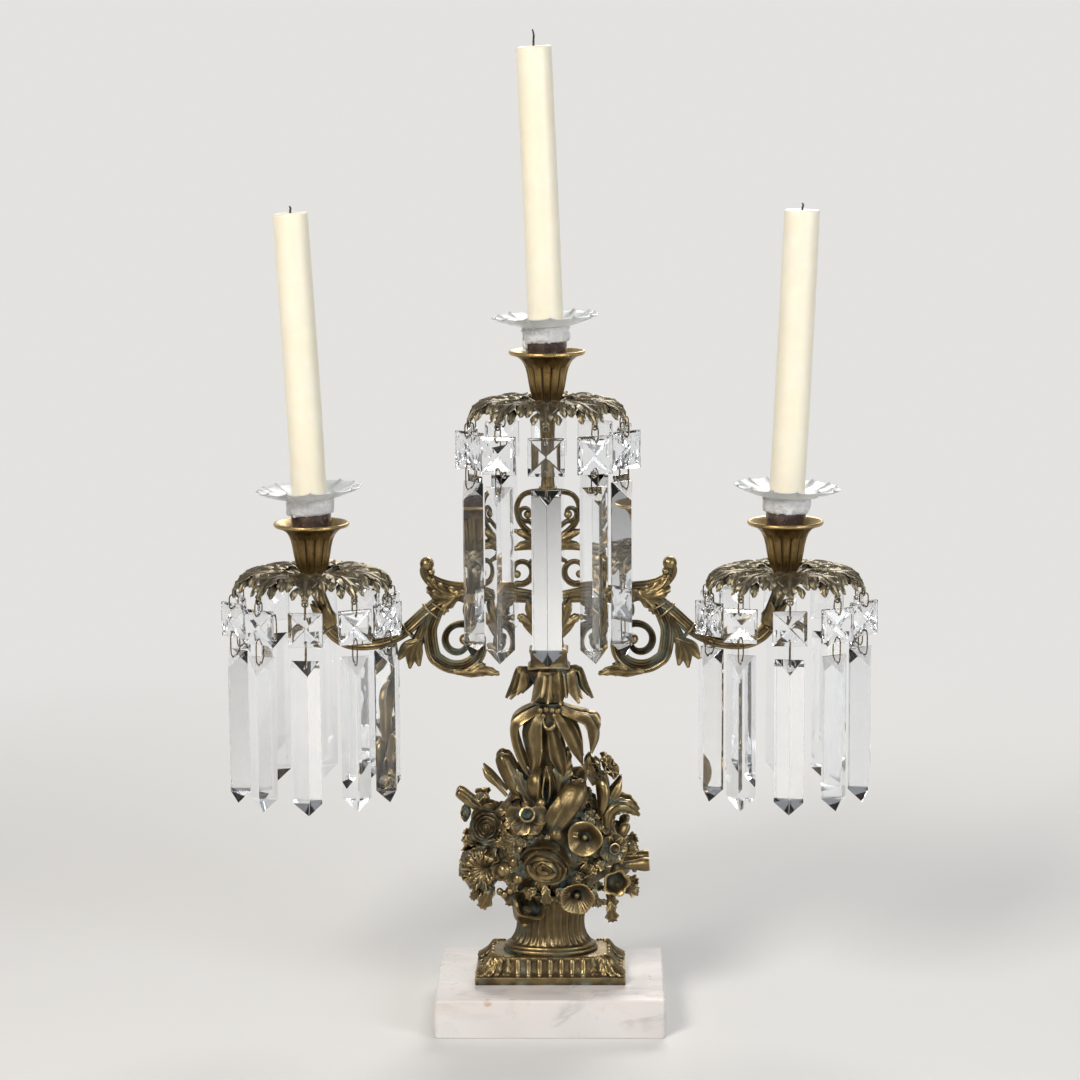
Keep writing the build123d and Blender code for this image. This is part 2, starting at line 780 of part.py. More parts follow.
def bobeche(plane):
    """Shallow glass dish with a scalloped rim, threaded over the candle."""
    sides = star(bobeche_scallops // 2, 0)
    wide = bobeche_radius + 2.5
    low = glass_z
    high = glass_z + bobeche_height * 1.1
    shell = stack([(low, bobeche_foot_radius), (low + 0.45 * bobeche_height, bobeche_radius * 0.8), (high, wide)],
                  sides, 1.0, plane)
    hollow = stack(
        [(low + bobeche_thickness, bobeche_foot_radius - 1),
         (low + 0.45 * bobeche_height + bobeche_thickness, bobeche_radius * 0.8),
         (high + bobeche_thickness, wide)], sides, 1.0, plane
    )
    with BuildPart() as dish:
        add(shell)
        add(hollow, mode=Mode.SUBTRACT)
        with BuildSketch(plane.offset(low)):
            with BuildLine():
                Polyline([(bobeche_radius * x, bobeche_radius * y) for x, y in star(bobeche_scallops, 0.05)],
                         close=True)
            make_face()
            RegularPolygon(candle_radius + bobeche_clearance, 2 * facets, major_radius=False, mode=Mode.SUBTRACT)
        extrude(amount=2 * bobeche_height, mode=Mode.INTERSECT)
    return dish.part


def candle(plane, length, wick_length):
    """A straight candle that stands on the nozzle's floor, with its burnt wick."""
    with BuildPart() as stick:
        with BuildSketch(plane.offset(-seat_depth)):
            Circle(candle_radius)
        extrude(amount=length)
        chamfer(stick.faces().sort_by(Axis.Z)[-1].edges(), 1)
    with BuildPart() as wick:
        with BuildSketch(plane.offset(length - seat_depth)):
            RegularPolygon(wick_radius, 5)
        extrude(amount=wick_length)
    return Compound(children=[stick.part, wick.part])


def link(top, bottom, inner, outer):
    """A bent wire link in the plane that faces sideways, from its top bar to its bottom bar."""
    with BuildPart() as loop:
        with BuildSketch(Plane.YZ.offset(-wire / 2)):
            with Locations(((outer + inner) / 2, (top + bottom) / 2)):
                Rectangle(outer - inner + wire, top - bottom + wire)
                Rectangle(outer - inner - wire, top - bottom - wire, mode=Mode.SUBTRACT)
        extrude(amount=wire)
    return loop.part


def drop(button_width, button_height, prism_length, ridge_out):
    """A crystal drop hung from its pivot at the origin, with its face towards -Y."""
    button_top = -button_below_pivot
    button_middle = button_top - button_height / 2
    button_bottom = button_top - button_height
    upper_hole = button_top - button_hole_inset
    lower_hole = button_bottom + button_hole_inset
    with BuildSketch(Plane.XZ.offset(-button_bevel_thickness / 2)) as back_bevel:
        with Locations((0, button_middle)):
            Rectangle(button_width - 2 * button_bevel, button_height - 2 * button_bevel)
    with BuildSketch(Plane.XZ.offset(-button_edge / 2)) as back_edge:
        with Locations((0, button_middle)):
            Rectangle(button_width, button_height)
    with BuildSketch(Plane.XZ.offset(button_edge / 2)) as front_edge:
        with Locations((0, button_middle)):
            Rectangle(button_width, button_height)
    with BuildSketch(Plane.XZ.offset(button_bevel_thickness / 2)) as front_bevel:
        with Locations((0, button_middle)):
            Rectangle(button_width - 2 * button_bevel, button_height - 2 * button_bevel)
    with BuildPart() as button:
        loft(
            [
                Vertex(0, button_thickness / 2, button_middle),
                back_bevel.sketch.faces()[0],
                back_edge.sketch.faces()[0],
                front_edge.sketch.faces()[0],
                front_bevel.sketch.faces()[0],
                Vertex(0, -button_thickness / 2, button_middle),
            ],
            ruled=True,
        )
        with BuildSketch(Plane.XZ.offset(-button_thickness)):
            with Locations((0, upper_hole), (0, lower_hole)):
                RegularPolygon(glass_hole_radius, 3)
        extrude(amount=2 * button_thickness, mode=Mode.SUBTRACT)
    prism_top = button_bottom - prism_gap
    prism_bottom = prism_top - prism_length
    prism_hole = prism_top - prism_hole_inset
    ridge = -1 if ridge_out else 1
    base = -ridge * prism_depth / 3
    crest = ridge * prism_depth * 2 / 3
    with BuildPart() as prism:
        with BuildSketch(Plane.XY.offset(prism_bottom + prism_point)) as section:
            with BuildLine():
                Polyline((-prism_width / 2, base), (prism_width / 2, base), (0, crest), close=True)
            make_face()
        extrude(amount=prism_length - prism_point)
        loft([section.sketch.faces()[0], Vertex(0, 0, prism_bottom)], ruled=True)
        with BuildSketch(Plane.YZ.offset(-prism_width / 2)):
            with BuildLine():
                Polyline(
                    (base + ridge * prism_land, prism_top + 1),
                    (base + ridge * prism_land, prism_top),
                    (crest, prism_top - prism_slope),
                    (crest + ridge, prism_top - prism_slope),
                    (crest + ridge, prism_top + 1),
                    close=True,
                )
            make_face()
        extrude(amount=prism_width, mode=Mode.SUBTRACT)
        with BuildSketch(Plane.XZ.offset(-prism_depth)):
            with Locations((0, prism_hole)):
                RegularPolygon(glass_hole_radius, 3)
        extrude(amount=2 * prism_depth, mode=Mode.SUBTRACT)
    shift = -ridge * 0.4
    upper_link = link(0, upper_hole, -link_half_depth, link_half_depth)
    lower_link = link(lower_hole, prism_hole, shift - link_half_depth - 0.4, shift + link_half_depth + 0.4)
    return [button.part, prism.part, upper_link, lower_link]


sizes = {
    "centre": (0, centre_seat_z, centre_lean, centre_candle_length, centre_wick_length),
    "left": (-arm_reach, side_seat_z, -side_lean, side_candle_length, side_wick_length),
    "right": (arm_reach, side_seat_z, side_lean, side_candle_length, side_wick_length),
}
drop_shapes = {}
for ridge_out in (True, False):
    drop_shapes["centre", ridge_out] = drop(centre_button_width, centre_button_height, centre_prism_length, ridge_out)
    side = drop(side_button_width, side_button_height, side_prism_length, ridge_out)
    drop_shapes["left", ridge_out] = side
    drop_shapes["right", ridge_out] = side

pivot_radius = canopy_radius - 0.5 - canopy_leaf_thickness / 2
for light, (x, seat_z, lean, candle_length, wick_length) in sizes.items():
    finish(canopy(Location((x, 0, seat_z))), light + "_canopy")
    finish(socket(Location((x, 0, seat_z + canopy_thickness))), light + "_socket")
    mouth_z = seat_z + canopy_thickness + socket_height
    tilt = radians(lean)
    axis = Plane(origin=(x, 0, mouth_z), x_dir=(cos(tilt), 0, -sin(tilt)), z_dir=(sin(tilt), 0, cos(tilt)))
    finish(nozzle(axis), light + "_nozzle")
    finish(wax_ring(axis), light + "_wax_ring")
    finish(bobeche(axis), light + "_bobeche")
    finish(candle(axis, candle_length, wick_length), light + "_candle")
    mirrored = -1 if light == "left" else 1
    for step in range(canopy_leaves):
        turn = mirrored * 360 * step / canopy_leaves
        twist = mirrored * drop_twist * sin(2.4 * step)
        pivot = (
            x + pivot_radius * sin(radians(turn)),
            -pivot_radius * cos(radians(turn)),
            seat_z - hole_drop - pivot_below_hole,
        )
        hung = Location(pivot, (0, 0, turn + twist))
        pieces = [piece.moved(hung) for piece in drop_shapes[light, step % 5 != 0]]
        finish(Compound(children=pieces), light + "_drop_" + str(step + 1))
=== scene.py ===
"""Girandole candle holder with three lights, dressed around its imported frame."""

import math
import bpy
import bmesh
import numpy as np
from mathutils import Matrix, Vector, noise
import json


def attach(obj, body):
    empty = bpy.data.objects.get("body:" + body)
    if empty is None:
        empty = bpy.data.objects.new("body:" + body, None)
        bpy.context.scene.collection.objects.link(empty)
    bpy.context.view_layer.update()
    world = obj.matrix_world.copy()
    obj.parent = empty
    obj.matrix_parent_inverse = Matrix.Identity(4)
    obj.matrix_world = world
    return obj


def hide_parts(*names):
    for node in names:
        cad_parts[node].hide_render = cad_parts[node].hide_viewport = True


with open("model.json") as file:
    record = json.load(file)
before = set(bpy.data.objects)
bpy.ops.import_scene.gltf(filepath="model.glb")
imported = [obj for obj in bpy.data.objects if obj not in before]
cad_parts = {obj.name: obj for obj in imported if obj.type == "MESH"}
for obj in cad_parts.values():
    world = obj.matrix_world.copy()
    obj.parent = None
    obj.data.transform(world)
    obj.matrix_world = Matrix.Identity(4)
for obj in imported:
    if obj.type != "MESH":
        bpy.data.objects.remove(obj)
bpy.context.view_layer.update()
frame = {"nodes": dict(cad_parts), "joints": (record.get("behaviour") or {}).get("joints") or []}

# The stand-in for the table top and the wall behind it: plain, pale and matt. The camera meets its paleness on
# every side, and glass and metal mirror it behind the object, with a dimmer room on the photographer's side.
MM = 0.001
ROOM = (0.84, 0.83, 0.81, 1)
ROOM_BRIGHT = 0.92
DIM_BRIGHT = 0.32
WALL_BEHIND = (0.25, 0.9)
FLOOR_FADE = (0.45, 1.3)
scene = bpy.context.scene
scene.view_settings.view_transform = "Standard"


def sum_of(tree, how, first, second):
    """A math node on sockets or plain numbers."""
    node = tree.nodes.new("ShaderNodeMath")
    node.operation = how
    for value, socket in ((first, node.inputs[0]), (second, node.inputs[1])):
        if isinstance(value, bpy.types.NodeSocket):
            tree.links.new(value, socket)
        else:
            socket.default_value = value
    return node.outputs[0]


def eased(tree, value, low, high):
    """How far a value has come from one level to another, from nought to one, eased at both ends."""
    ramp = tree.nodes.new("ShaderNodeMapRange")
    ramp.interpolation_type = "SMOOTHSTEP"
    ramp.inputs["From Min"].default_value = low
    ramp.inputs["From Max"].default_value = high
    tree.links.new(value, ramp.inputs["Value"])
    return ramp.outputs["Result"]


def pale_for_lens(tree, kind, shader, lens_share, mirror_share):
    """Show the wall's paleness to the camera and in glass and metal, each by its share, and else the shader."""
    path = tree.nodes.new("ShaderNodeLightPath")
    mirrored = sum_of(tree, "MAXIMUM", path.outputs["Is Glossy Ray"], path.outputs["Is Transmission Ray"])
    seen = sum_of(tree, "MAXIMUM", sum_of(tree, "MULTIPLY", path.outputs["Is Camera Ray"], lens_share),
                  sum_of(tree, "MULTIPLY", mirrored, mirror_share))
    pale = tree.nodes.new(kind)
    pale.inputs["Color"].default_value = ROOM
    pale.inputs["Strength"].default_value = ROOM_BRIGHT
    mix = tree.nodes.new("ShaderNodeMixShader")
    tree.links.new(seen, mix.inputs[0])
    tree.links.new(shader, mix.inputs[1])
    tree.links.new(pale.outputs[0], mix.inputs[2])
    return mix.outputs[0]


world = bpy.data.worlds.new("soft_room")
world.use_nodes = True
scene.world = world
room = world.node_tree
room.nodes.clear()
dim = room.nodes.new("ShaderNodeBackground")
dim.inputs["Color"].default_value = (0.75, 0.78, 0.82, 1)
dim.inputs["Strength"].default_value = DIM_BRIGHT
way = room.nodes.new("ShaderNodeSeparateXYZ")
room.links.new(room.nodes.new("ShaderNodeTexCoord").outputs["Generated"], way.inputs[0])
behind = eased(room, way.outputs["Y"], *WALL_BEHIND)
world_out = room.nodes.new("ShaderNodeOutputWorld")
room.links.new(pale_for_lens(room, "ShaderNodeBackground", dim.outputs[0], 1.0, behind), world_out.inputs[0])

floor_mesh = bpy.data.meshes.new("floor")
floor_mesh.from_pydata([(-6, -3, 0), (6, -3, 0), (6, 9, 0), (-6, 9, 0)], [], [(0, 1, 2, 3)])
floor = bpy.data.objects.new("floor", floor_mesh)
scene.collection.objects.link(floor)
paper = bpy.data.materials.new("pale_table")
paper.use_nodes = True
sheet = paper.node_tree
sheet.nodes["Principled BSDF"].inputs["Base Color"].default_value = (0.70, 0.69, 0.67, 1)
sheet.nodes["Principled BSDF"].inputs["Roughness"].default_value = 0.85
floor_place = sheet.nodes.new("ShaderNodeTexCoord").outputs["Object"]
reach = sheet.nodes.new("ShaderNodeVectorMath")
reach.operation = "LENGTH"
sheet.links.new(floor_place, reach.inputs[0])
away = eased(sheet, reach.outputs["Value"], *FLOOR_FADE)
way = sheet.nodes.new("ShaderNodeSeparateXYZ")
sheet.links.new(floor_place, way.inputs[0])
away_behind = sum_of(sheet, "MULTIPLY", away, eased(sheet, way.outputs["Y"], 0.0, 0.8))
faded = pale_for_lens(sheet, "ShaderNodeEmission", sheet.nodes["Principled BSDF"].outputs[0], away, away_behind)
sheet.links.new(faded, sheet.nodes["Material Output"].inputs[0])
floor_mesh.materials.append(paper)


def lamp(name, place, aim, width, power, colour):
    """A soft square lamp that looks at a point of the object."""
    data = bpy.data.lights.new(name, "AREA")
    data.shape = "SQUARE"
    data.size = width
    data.energy = power
    data.color = colour
    thing = bpy.data.objects.new(name, data)
    thing.location = place
    thing.rotation_euler = (Vector(aim) - Vector(place)).to_track_quat("-Z", "Y").to_euler()
    scene.collection.objects.link(thing)


lamp("key", (-0.9, -1.5, 1.5), (0, 0, 0.3), 0.7, 34, (1.0, 0.96, 0.9))
lamp("fill", (1.4, -1.3, 0.9), (0, 0, 0.3), 0.9, 16, (0.92, 0.96, 1.0))
lamp("back", (0.3, 1.5, 1.4), (0, 0, 0.35), 0.8, 20, (1.0, 0.98, 0.95))

# The camera stands where the photographer stood: about 1.8 m away, a little above the object, with a long lens.
CAMERA_DISTANCE = 1.82
CAMERA_HEIGHT = 0.595
CAMERA_PITCH = 9.05
CAMERA_TURN = 1.0
CAMERA_YAW = 0.16
CAMERA_ROLL = 0.4
camera_data = bpy.data.cameras.new("photo_camera")
camera_data.lens = 98.3
camera_data.sensor_width = 36
camera_data.clip_end = 60
camera = bpy.data.objects.new("photo_camera", camera_data)
turn = math.radians(CAMERA_TURN)
camera.location = (CAMERA_DISTANCE * math.sin(turn), -CAMERA_DISTANCE * math.cos(turn), CAMERA_HEIGHT)
camera.rotation_euler = (
    Matrix.Rotation(math.radians(CAMERA_TURN + CAMERA_YAW), 3, "Z")
    @ Matrix.Rotation(math.radians(90 - CAMERA_PITCH), 3, "X")
    @ Matrix.Rotation(math.radians(-CAMERA_ROLL), 3, "Z")
).to_euler()
scene.collection.objects.link(camera)
scene.camera = camera

# Marble plinth: a sawn and polished block of white marble, its edges eased by hand and a little worn.
# It is drilled through from below, with a wide recess for the nut of the tie rod.
PLINTH = (144.0, 114.0, 24.5)
PLINTH_CORNER = 2.6
PLINTH_EDGE = 1.8
ROD_HOLE = 3.4
NUT_RECESS = (13.0, 12.0)


def skin(rings, ends="fan"):
    """A surface through closed rings of points. Its ends are fanned shut, or joined to each other for a ring."""
    rings = np.asarray(rings, float)
    count, sides = rings.shape[:2]
    points = rings.reshape(-1, 3)
    rows = count if ends == "join" else count - 1
    faces = []
    for row in range(rows):
        here, there = row * sides, (row + 1) % count * sides
        for side in range(sides):
            after = (side + 1) % sides
            faces.append((here + side, here + after, there + after, there + side))
    if ends == "fan":
        points = np.vstack([points, rings[0].mean(0), rings[-1].mean(0)])
        first, last, top = count * sides, count * sides + 1, (count - 1) * sides
        for side in range(sides):
            after = (side + 1) % sides
            faces.append((first, after, side))
            faces.append((last, top + side, top + after))
    return points, faces


def joined(parts):
    """Several (points, faces) shapes as one."""
    points, faces, start = [], [], 0
    for part_points, part_faces in parts:
        points.append(part_points)
        faces += [tuple(start + corner for corner in face) for face in part_faces]
        start += len(part_points)
    return np.vstack(points), faces


def piece(name, parts, body, material, replaces=(), smooth=45):
    """A finished object from shapes in millimetres, riding on its body, with soft shading up to an angle."""
    points, faces = joined(parts)
    mesh = bpy.data.meshes.new(name)
    mesh.from_pydata((points * MM).tolist(), [], faces)
    work = bmesh.new()
    work.from_mesh(mesh)
    bmesh.ops.remove_doubles(work, verts=work.verts, dist=0.000004)
    bmesh.ops.recalc_face_normals(work, faces=work.faces)
    work.to_mesh(mesh)
    work.free()
    mesh.polygons.foreach_set("use_smooth", [True] * len(mesh.polygons))
    mesh.set_sharp_from_angle(angle=math.radians(smooth))
    thing = bpy.data.objects.new(name, mesh)
    scene.collection.objects.link(thing)
    mesh.materials.append(material)
    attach(thing, body)
    if replaces:
        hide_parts(*replaces)
    return thing


def block_outline(width, depth, corner, sides=12):
    """Corners of a rectangle with rounded corners, evenly spread along its straight sides."""
    outline = []
    for start, (sx, sy) in enumerate(((1, 1), (-1, 1), (-1, -1), (1, -1))):
        centre = (sx * (width / 2 - corner), sy * (depth / 2 - corner))
        for step in range(7):
            angle = math.radians(90 * start + 15 * step)
            outline.append((centre[0] + corner * math.cos(angle), centre[1] + corner * math.sin(angle)))
        end = outline[-1]
        next_sx, next_sy = ((-1, 1), (-1, -1), (1, -1), (1, 1))[start]
        angle = math.radians(90 * start + 90)
        target = (next_sx * (width / 2 - corner) + corner * math.cos(angle),
                  next_sy * (depth / 2 - corner) + corner * math.sin(angle))
        for step in range(1, sides):
            share = step / sides
            outline.append((end[0] + (target[0] - end[0]) * share, end[1] + (target[1] - end[1]) * share))
    return np.array(outline)


def noise_mix(tree, vector, scale, detail, low, high, distortion=0.0, rough=0.55):
    """Noise with its contrast drawn out between two levels."""
    noise = tree.nodes.new("ShaderNodeTexNoise")
    noise.inputs["Scale"].default_value = scale
    noise.inputs["Detail"].default_value = detail
    noise.inputs["Roughness"].default_value = rough
    noise.inputs["Distortion"].default_value = distortion
    tree.links.new(vector, noise.inputs["Vector"])
    ramp = tree.nodes.new("ShaderNodeMapRange")
    ramp.inputs["From Min"].default_value = low
    ramp.inputs["From Max"].default_value = high
    tree.links.new(noise.outputs["Fac"], ramp.inputs["Value"])
    return ramp.outputs["Result"]


def blend_colour(tree, share, under, over, how="MIX"):
    """Mix two colours. Each may be a socket or a plain colour, and the share a socket or a number."""
    mix = tree.nodes.new("ShaderNodeMix")
    mix.data_type = "RGBA"
    mix.blend_type = how
    for value, socket in ((share, mix.inputs[0]), (under, mix.inputs[6]), (over, mix.inputs[7])):
        if isinstance(value, bpy.types.NodeSocket):
            tree.links.new(value, socket)
        else:
            socket.default_value = value
    return mix.outputs[2]


def new_material(name):
    """An empty material with its shader, and the place of each point on the object."""
    material = bpy.data.materials.new(name)
    material.use_nodes = True
    tree = material.node_tree
    place = tree.nodes.new("ShaderNodeTexCoord").outputs["Object"]
    return material, tree, tree.nodes["Principled BSDF"], place


def bump(tree, shader, height, distance, strength=1.0):
    """Raise the surface by a height."""
    node = tree.nodes.new("ShaderNodeBump")
    node.inputs["Distance"].default_value = distance
    node.inputs["Strength"].default_value = strength
    tree.links.new(height, node.inputs["Height"])
    tree.links.new(node.outputs[0], shader.inputs["Normal"])


def marble_finish():
    """White marble with a warm cast, soft grey veins, tiny pits and one rust stain."""
    material, tree, shader, place = new_material("marble")
    stretched = tree.nodes.new("ShaderNodeMapping")
    stretched.inputs["Rotation"].default_value = (0.5, 0.35, 0.55)
    stretched.inputs["Scale"].default_value = (0.55, 1.0, 1.5)
    tree.links.new(place, stretched.inputs["Vector"])
    flow = stretched.outputs[0]
    warm = noise_mix(tree, flow, 22, 3, 0.35, 0.7)
    colour = blend_colour(tree, warm, (0.70, 0.67, 0.655, 1), (0.73, 0.65, 0.60, 1))
    cloud = noise_mix(tree, flow, 30, 6, 0.52, 0.78, 0.6)
    colour = blend_colour(tree, sum_of(tree, "MULTIPLY", cloud, 0.7), colour, (0.44, 0.425, 0.425, 1))
    crease = sum_of(tree, "ABSOLUTE", sum_of(tree, "SUBTRACT", noise_mix(tree, flow, 16, 7, 0.0, 1.0, 1.2), 0.5), 0)
    vein = sum_of(tree, "SUBTRACT", 1.0, sum_of(tree, "MULTIPLY", crease, 20))
    vein = sum_of(tree, "MULTIPLY", sum_of(tree, "MAXIMUM", vein, 0.0), noise_mix(tree, place, 26, 2, 0.5, 0.68))
    colour = blend_colour(tree, sum_of(tree, "MULTIPLY", vein, 0.8), colour, (0.40, 0.39, 0.40, 1))
    speck = noise_mix(tree, place, 420, 2, 0.72, 0.8)
    colour = blend_colour(tree, sum_of(tree, "MULTIPLY", speck, 0.5), colour, (0.46, 0.40, 0.36, 1))
    spot = tree.nodes.new("ShaderNodeVectorMath")
    spot.operation = "DISTANCE"
    spot.inputs[1].default_value = (-0.0385, -0.0555, 0.0225)
    tree.links.new(place, spot.inputs[0])
    ragged = sum_of(tree, "ADD", spot.outputs["Value"],
                    sum_of(tree, "MULTIPLY", noise_mix(tree, place, 300, 4, 0.3, 0.7), 0.0028))
    rust = tree.nodes.new("ShaderNodeMapRange")
    rust.inputs["From Min"].default_value = 0.0044
    rust.inputs["From Max"].default_value = 0.0022
    tree.links.new(ragged, rust.inputs["Value"])
    colour = blend_colour(tree, sum_of(tree, "MULTIPLY", rust.outputs[0], 0.75), colour, (0.42, 0.20, 0.07, 1))
    tree.links.new(colour, shader.inputs["Base Color"])
    rough = tree.nodes.new("ShaderNodeMapRange")
    rough.inputs["To Min"].default_value = 0.24
    rough.inputs["To Max"].default_value = 0.42
    tree.links.new(noise_mix(tree, place, 60, 4, 0.3, 0.7), rough.inputs["Value"])
    tree.links.new(rough.outputs[0], shader.inputs["Roughness"])
    shader.inputs["Subsurface Weight"].default_value = 0.12
    shader.inputs["Subsurface Radius"].default_value = (0.004, 0.003, 0.0025)
    bump(tree, shader, sum_of(tree, "SUBTRACT", 1.0, speck), 0.0002, 0.5)
    return material


marble = marble_finish()
plinth_edge = block_outline(PLINTH[0], PLINTH[1], PLINTH_CORNER)
plinth_out = np.arctan2(plinth_edge[:, 1], plinth_edge[:, 0])
plinth_rings = []


def plinth_circle(radius, height):
    plinth_rings.append(np.stack([radius * np.cos(plinth_out), radius * np.sin(plinth_out),
                                  np.full(len(plinth_out), height)], 1))


def plinth_level(inset, height):
    """The outline drawn in, with the slight waviness of hand polishing on its edges."""
    wave = 0.12 * np.sin(plinth_out * 9 + height) * (inset > 0)
    shrink = 1 - (inset + wave) / (np.array(PLINTH[:2]) / 2)[:, None]
    flat = plinth_edge * shrink.T
    plinth_rings.append(np.column_stack([flat, np.full(len(flat), height)]))


plinth_circle(NUT_RECESS[0], 0)
plinth_level(1.0, 0)
for step in range(1, 5):
    plinth_level(0.8 * (1 - math.sin(math.radians(22.5 * step))), 0.8 * (1 - math.cos(math.radians(22.5 * step))))
for step in range(7):
    ease = math.radians(15 * step)
    plinth_level(PLINTH_EDGE * (1 - math.cos(ease)), PLINTH[2] - PLINTH_EDGE * (1 - math.sin(ease)))
plinth_level(12, PLINTH[2])
plinth_circle(ROD_HOLE, PLINTH[2])
plinth_circle(ROD_HOLE, NUT_RECESS[1])
plinth_circle(NUT_RECESS[0], NUT_RECESS[1])
piece("plinth", [skin(plinth_rings, "join")], "root", marble, ["marble_base"])

# Cast foot: a thin slab with a hollow moulding above it, reeded along its sides, with beads at the reeds' feet,
# palm leaves beside them and an acanthus leaf over each corner. Cast brass, gilt once, now brown in its hollows, which
# its finish darkens with dirt and painted shade.
FOOT_LOW = 24.5
SLAB = (95.0, 52.0, 5.0)
PLATFORM = (71.0, 37.5)
FOOT_TOP = 41.0
REED_PITCH = 6.9


def smooth_line(points, count):
    """Samples of a smooth curve through the points."""
    points = np.asarray(points, float)
    if points.ndim == 1:
        points = points[:, None]
    padded = np.vstack([2 * points[0] - points[1], points, 2 * points[-1] - points[-2]])
    along = np.linspace(0, len(points) - 1, count)
    index = np.minimum(along.astype(int), len(points) - 2)
    part = (along - index)[:, None]
    a, b, c, d = (padded[index + shift] for shift in range(4))
    return 0.5 * (2 * b + (c - a) * part + (2 * a - 5 * b + 4 * c - d) * part**2 + (3 * b - a - 3 * c + d) * part**3)


def unit(vectors):
    """Vectors of length one."""
    return vectors / np.maximum(np.linalg.norm(vectors, axis=-1, keepdims=True), 1e-9)


def bar(path, widths, depths, up=(0, 1, 0), rows=40, sides=14, flutes=0, groove=0.12, square=1.0):
    """A moulded bar along a path: so wide across it, so deep along the up direction, fluted if asked."""
    line = smooth_line(path, rows)
    wide, deep = (np.maximum(smooth_line(value if np.ndim(value) else [value, value], rows)[:, 0], 0.15) / 2
                  for value in (widths, depths))
    ahead = unit(np.gradient(line, axis=0))
    side = unit(np.cross(ahead, up))
    top = np.cross(side, ahead)
    turn = np.linspace(0, 2 * np.pi, sides, endpoint=False)
    bulge = (np.abs(np.cos(turn)) ** (2 / square) + np.abs(np.sin(turn)) ** (2 / square)) ** (-square / 2)
    if flutes:
        bulge = bulge * (1 - groove * (0.5 - 0.5 * np.cos(flutes * turn)) ** 0.7)
    across = (np.cos(turn) * bulge)[None, :, None] * wide[:, None, None] * side[:, None]
    raised = (np.sin(turn) * bulge)[None, :, None] * deep[:, None, None] * top[:, None]
    return skin(line[:, None] + across + raised)


def leaf(spine, widths, face, thickness=1.4, lobes=0, notch=0.35, cup=0.15, sweep=0.0, vein=0.35, folds=0.0,
         rows=34, across=14, tip=0.0, keel=0.0):
    """A closed leaf along its spine, its upper side turned to face, with lobed edges, veins and a cupped section."""
    line = smooth_line(spine, rows)
    wide = np.maximum(smooth_line(widths, rows)[:, 0], 0.12)
    ahead = unit(np.gradient(line, axis=0))
    face = np.asarray(face, float)
    face = np.broadcast_to(face, line.shape) if face.ndim == 1 else smooth_line(face, rows)
    side = unit(np.cross(ahead, face))
    top = np.cross(side, ahead)
    along = np.linspace(0, 1, rows)[:, None]
    edge = np.linspace(-1, 1, across + 1)[None, :]
    reach = wide[:, None] * np.ones_like(edge)
    if lobes:
        scallop = 1 - notch * np.abs(np.cos(np.pi * lobes * along + 0.35)) ** 1.6
        reach = reach * (1 - np.abs(edge) ** 2 * (1 - scallop))
    lift = cup * wide[:, None] * edge**2 + vein * np.exp(-((edge / 0.13) ** 2)) * np.minimum(wide[:, None] / 3, 1)
    if lobes:
        lift = lift + vein * 0.8 * np.cos(2 * np.pi * lobes * along - np.abs(edge) * 2.2) * np.abs(edge) * (wide[:, None] > 1)
    lift = lift - keel * wide[:, None] * np.abs(edge)
    if folds:
        lift = lift + folds * np.sin(np.abs(edge) * 7) * np.sin(np.pi * along)
    grid = line[:, None] + side[:, None] * (reach * edge)[..., None] + top[:, None] * lift[..., None]
    grid = grid + ahead[:, None] * (sweep * wide[:, None] * np.abs(edge) ** 1.5)[..., None]
    normal = unit(np.cross(np.gradient(grid, axis=1), np.gradient(grid, axis=0)))
    half = thickness / 2 * (1 - 0.55 * np.abs(edge) ** 3) * (1 - tip * along)
    upper = grid + normal * half[..., None]
    lower = grid - normal * half[..., None]
    return skin(np.concatenate([upper, lower[:, ::-1]], axis=1))


def ball(centre, radius, squash=(1, 1, 1), rows=9, sides=14):
    """A round boss or bead."""
    rings = []
    for row in range(1, rows):
        lift = math.pi * row / rows - math.pi / 2
        turns = np.linspace(0, 2 * np.pi, sides, endpoint=False)
        rings.append(np.stack([radius * squash[0] * math.cos(lift) * np.cos(turns),
                               radius * squash[1] * math.cos(lift) * np.sin(turns),
                               np.full(sides, radius * squash[2] * math.sin(lift))], 1) + np.asarray(centre, float))
    return skin(rings)


def placed(shape, matrix):
    """A shape moved and turned by a matrix."""
    points, faces = shape
    turned = np.array(matrix, float)
    return points @ turned[:3, :3].T + turned[:3, 3], faces


def mirrored(shape, axis=0):
    """The shape's mirror image across the plane through the middle."""
    points, faces = shape
    flip = np.ones(3)
    flip[axis] = -1
    return points * flip, [face[::-1] for face in faces]


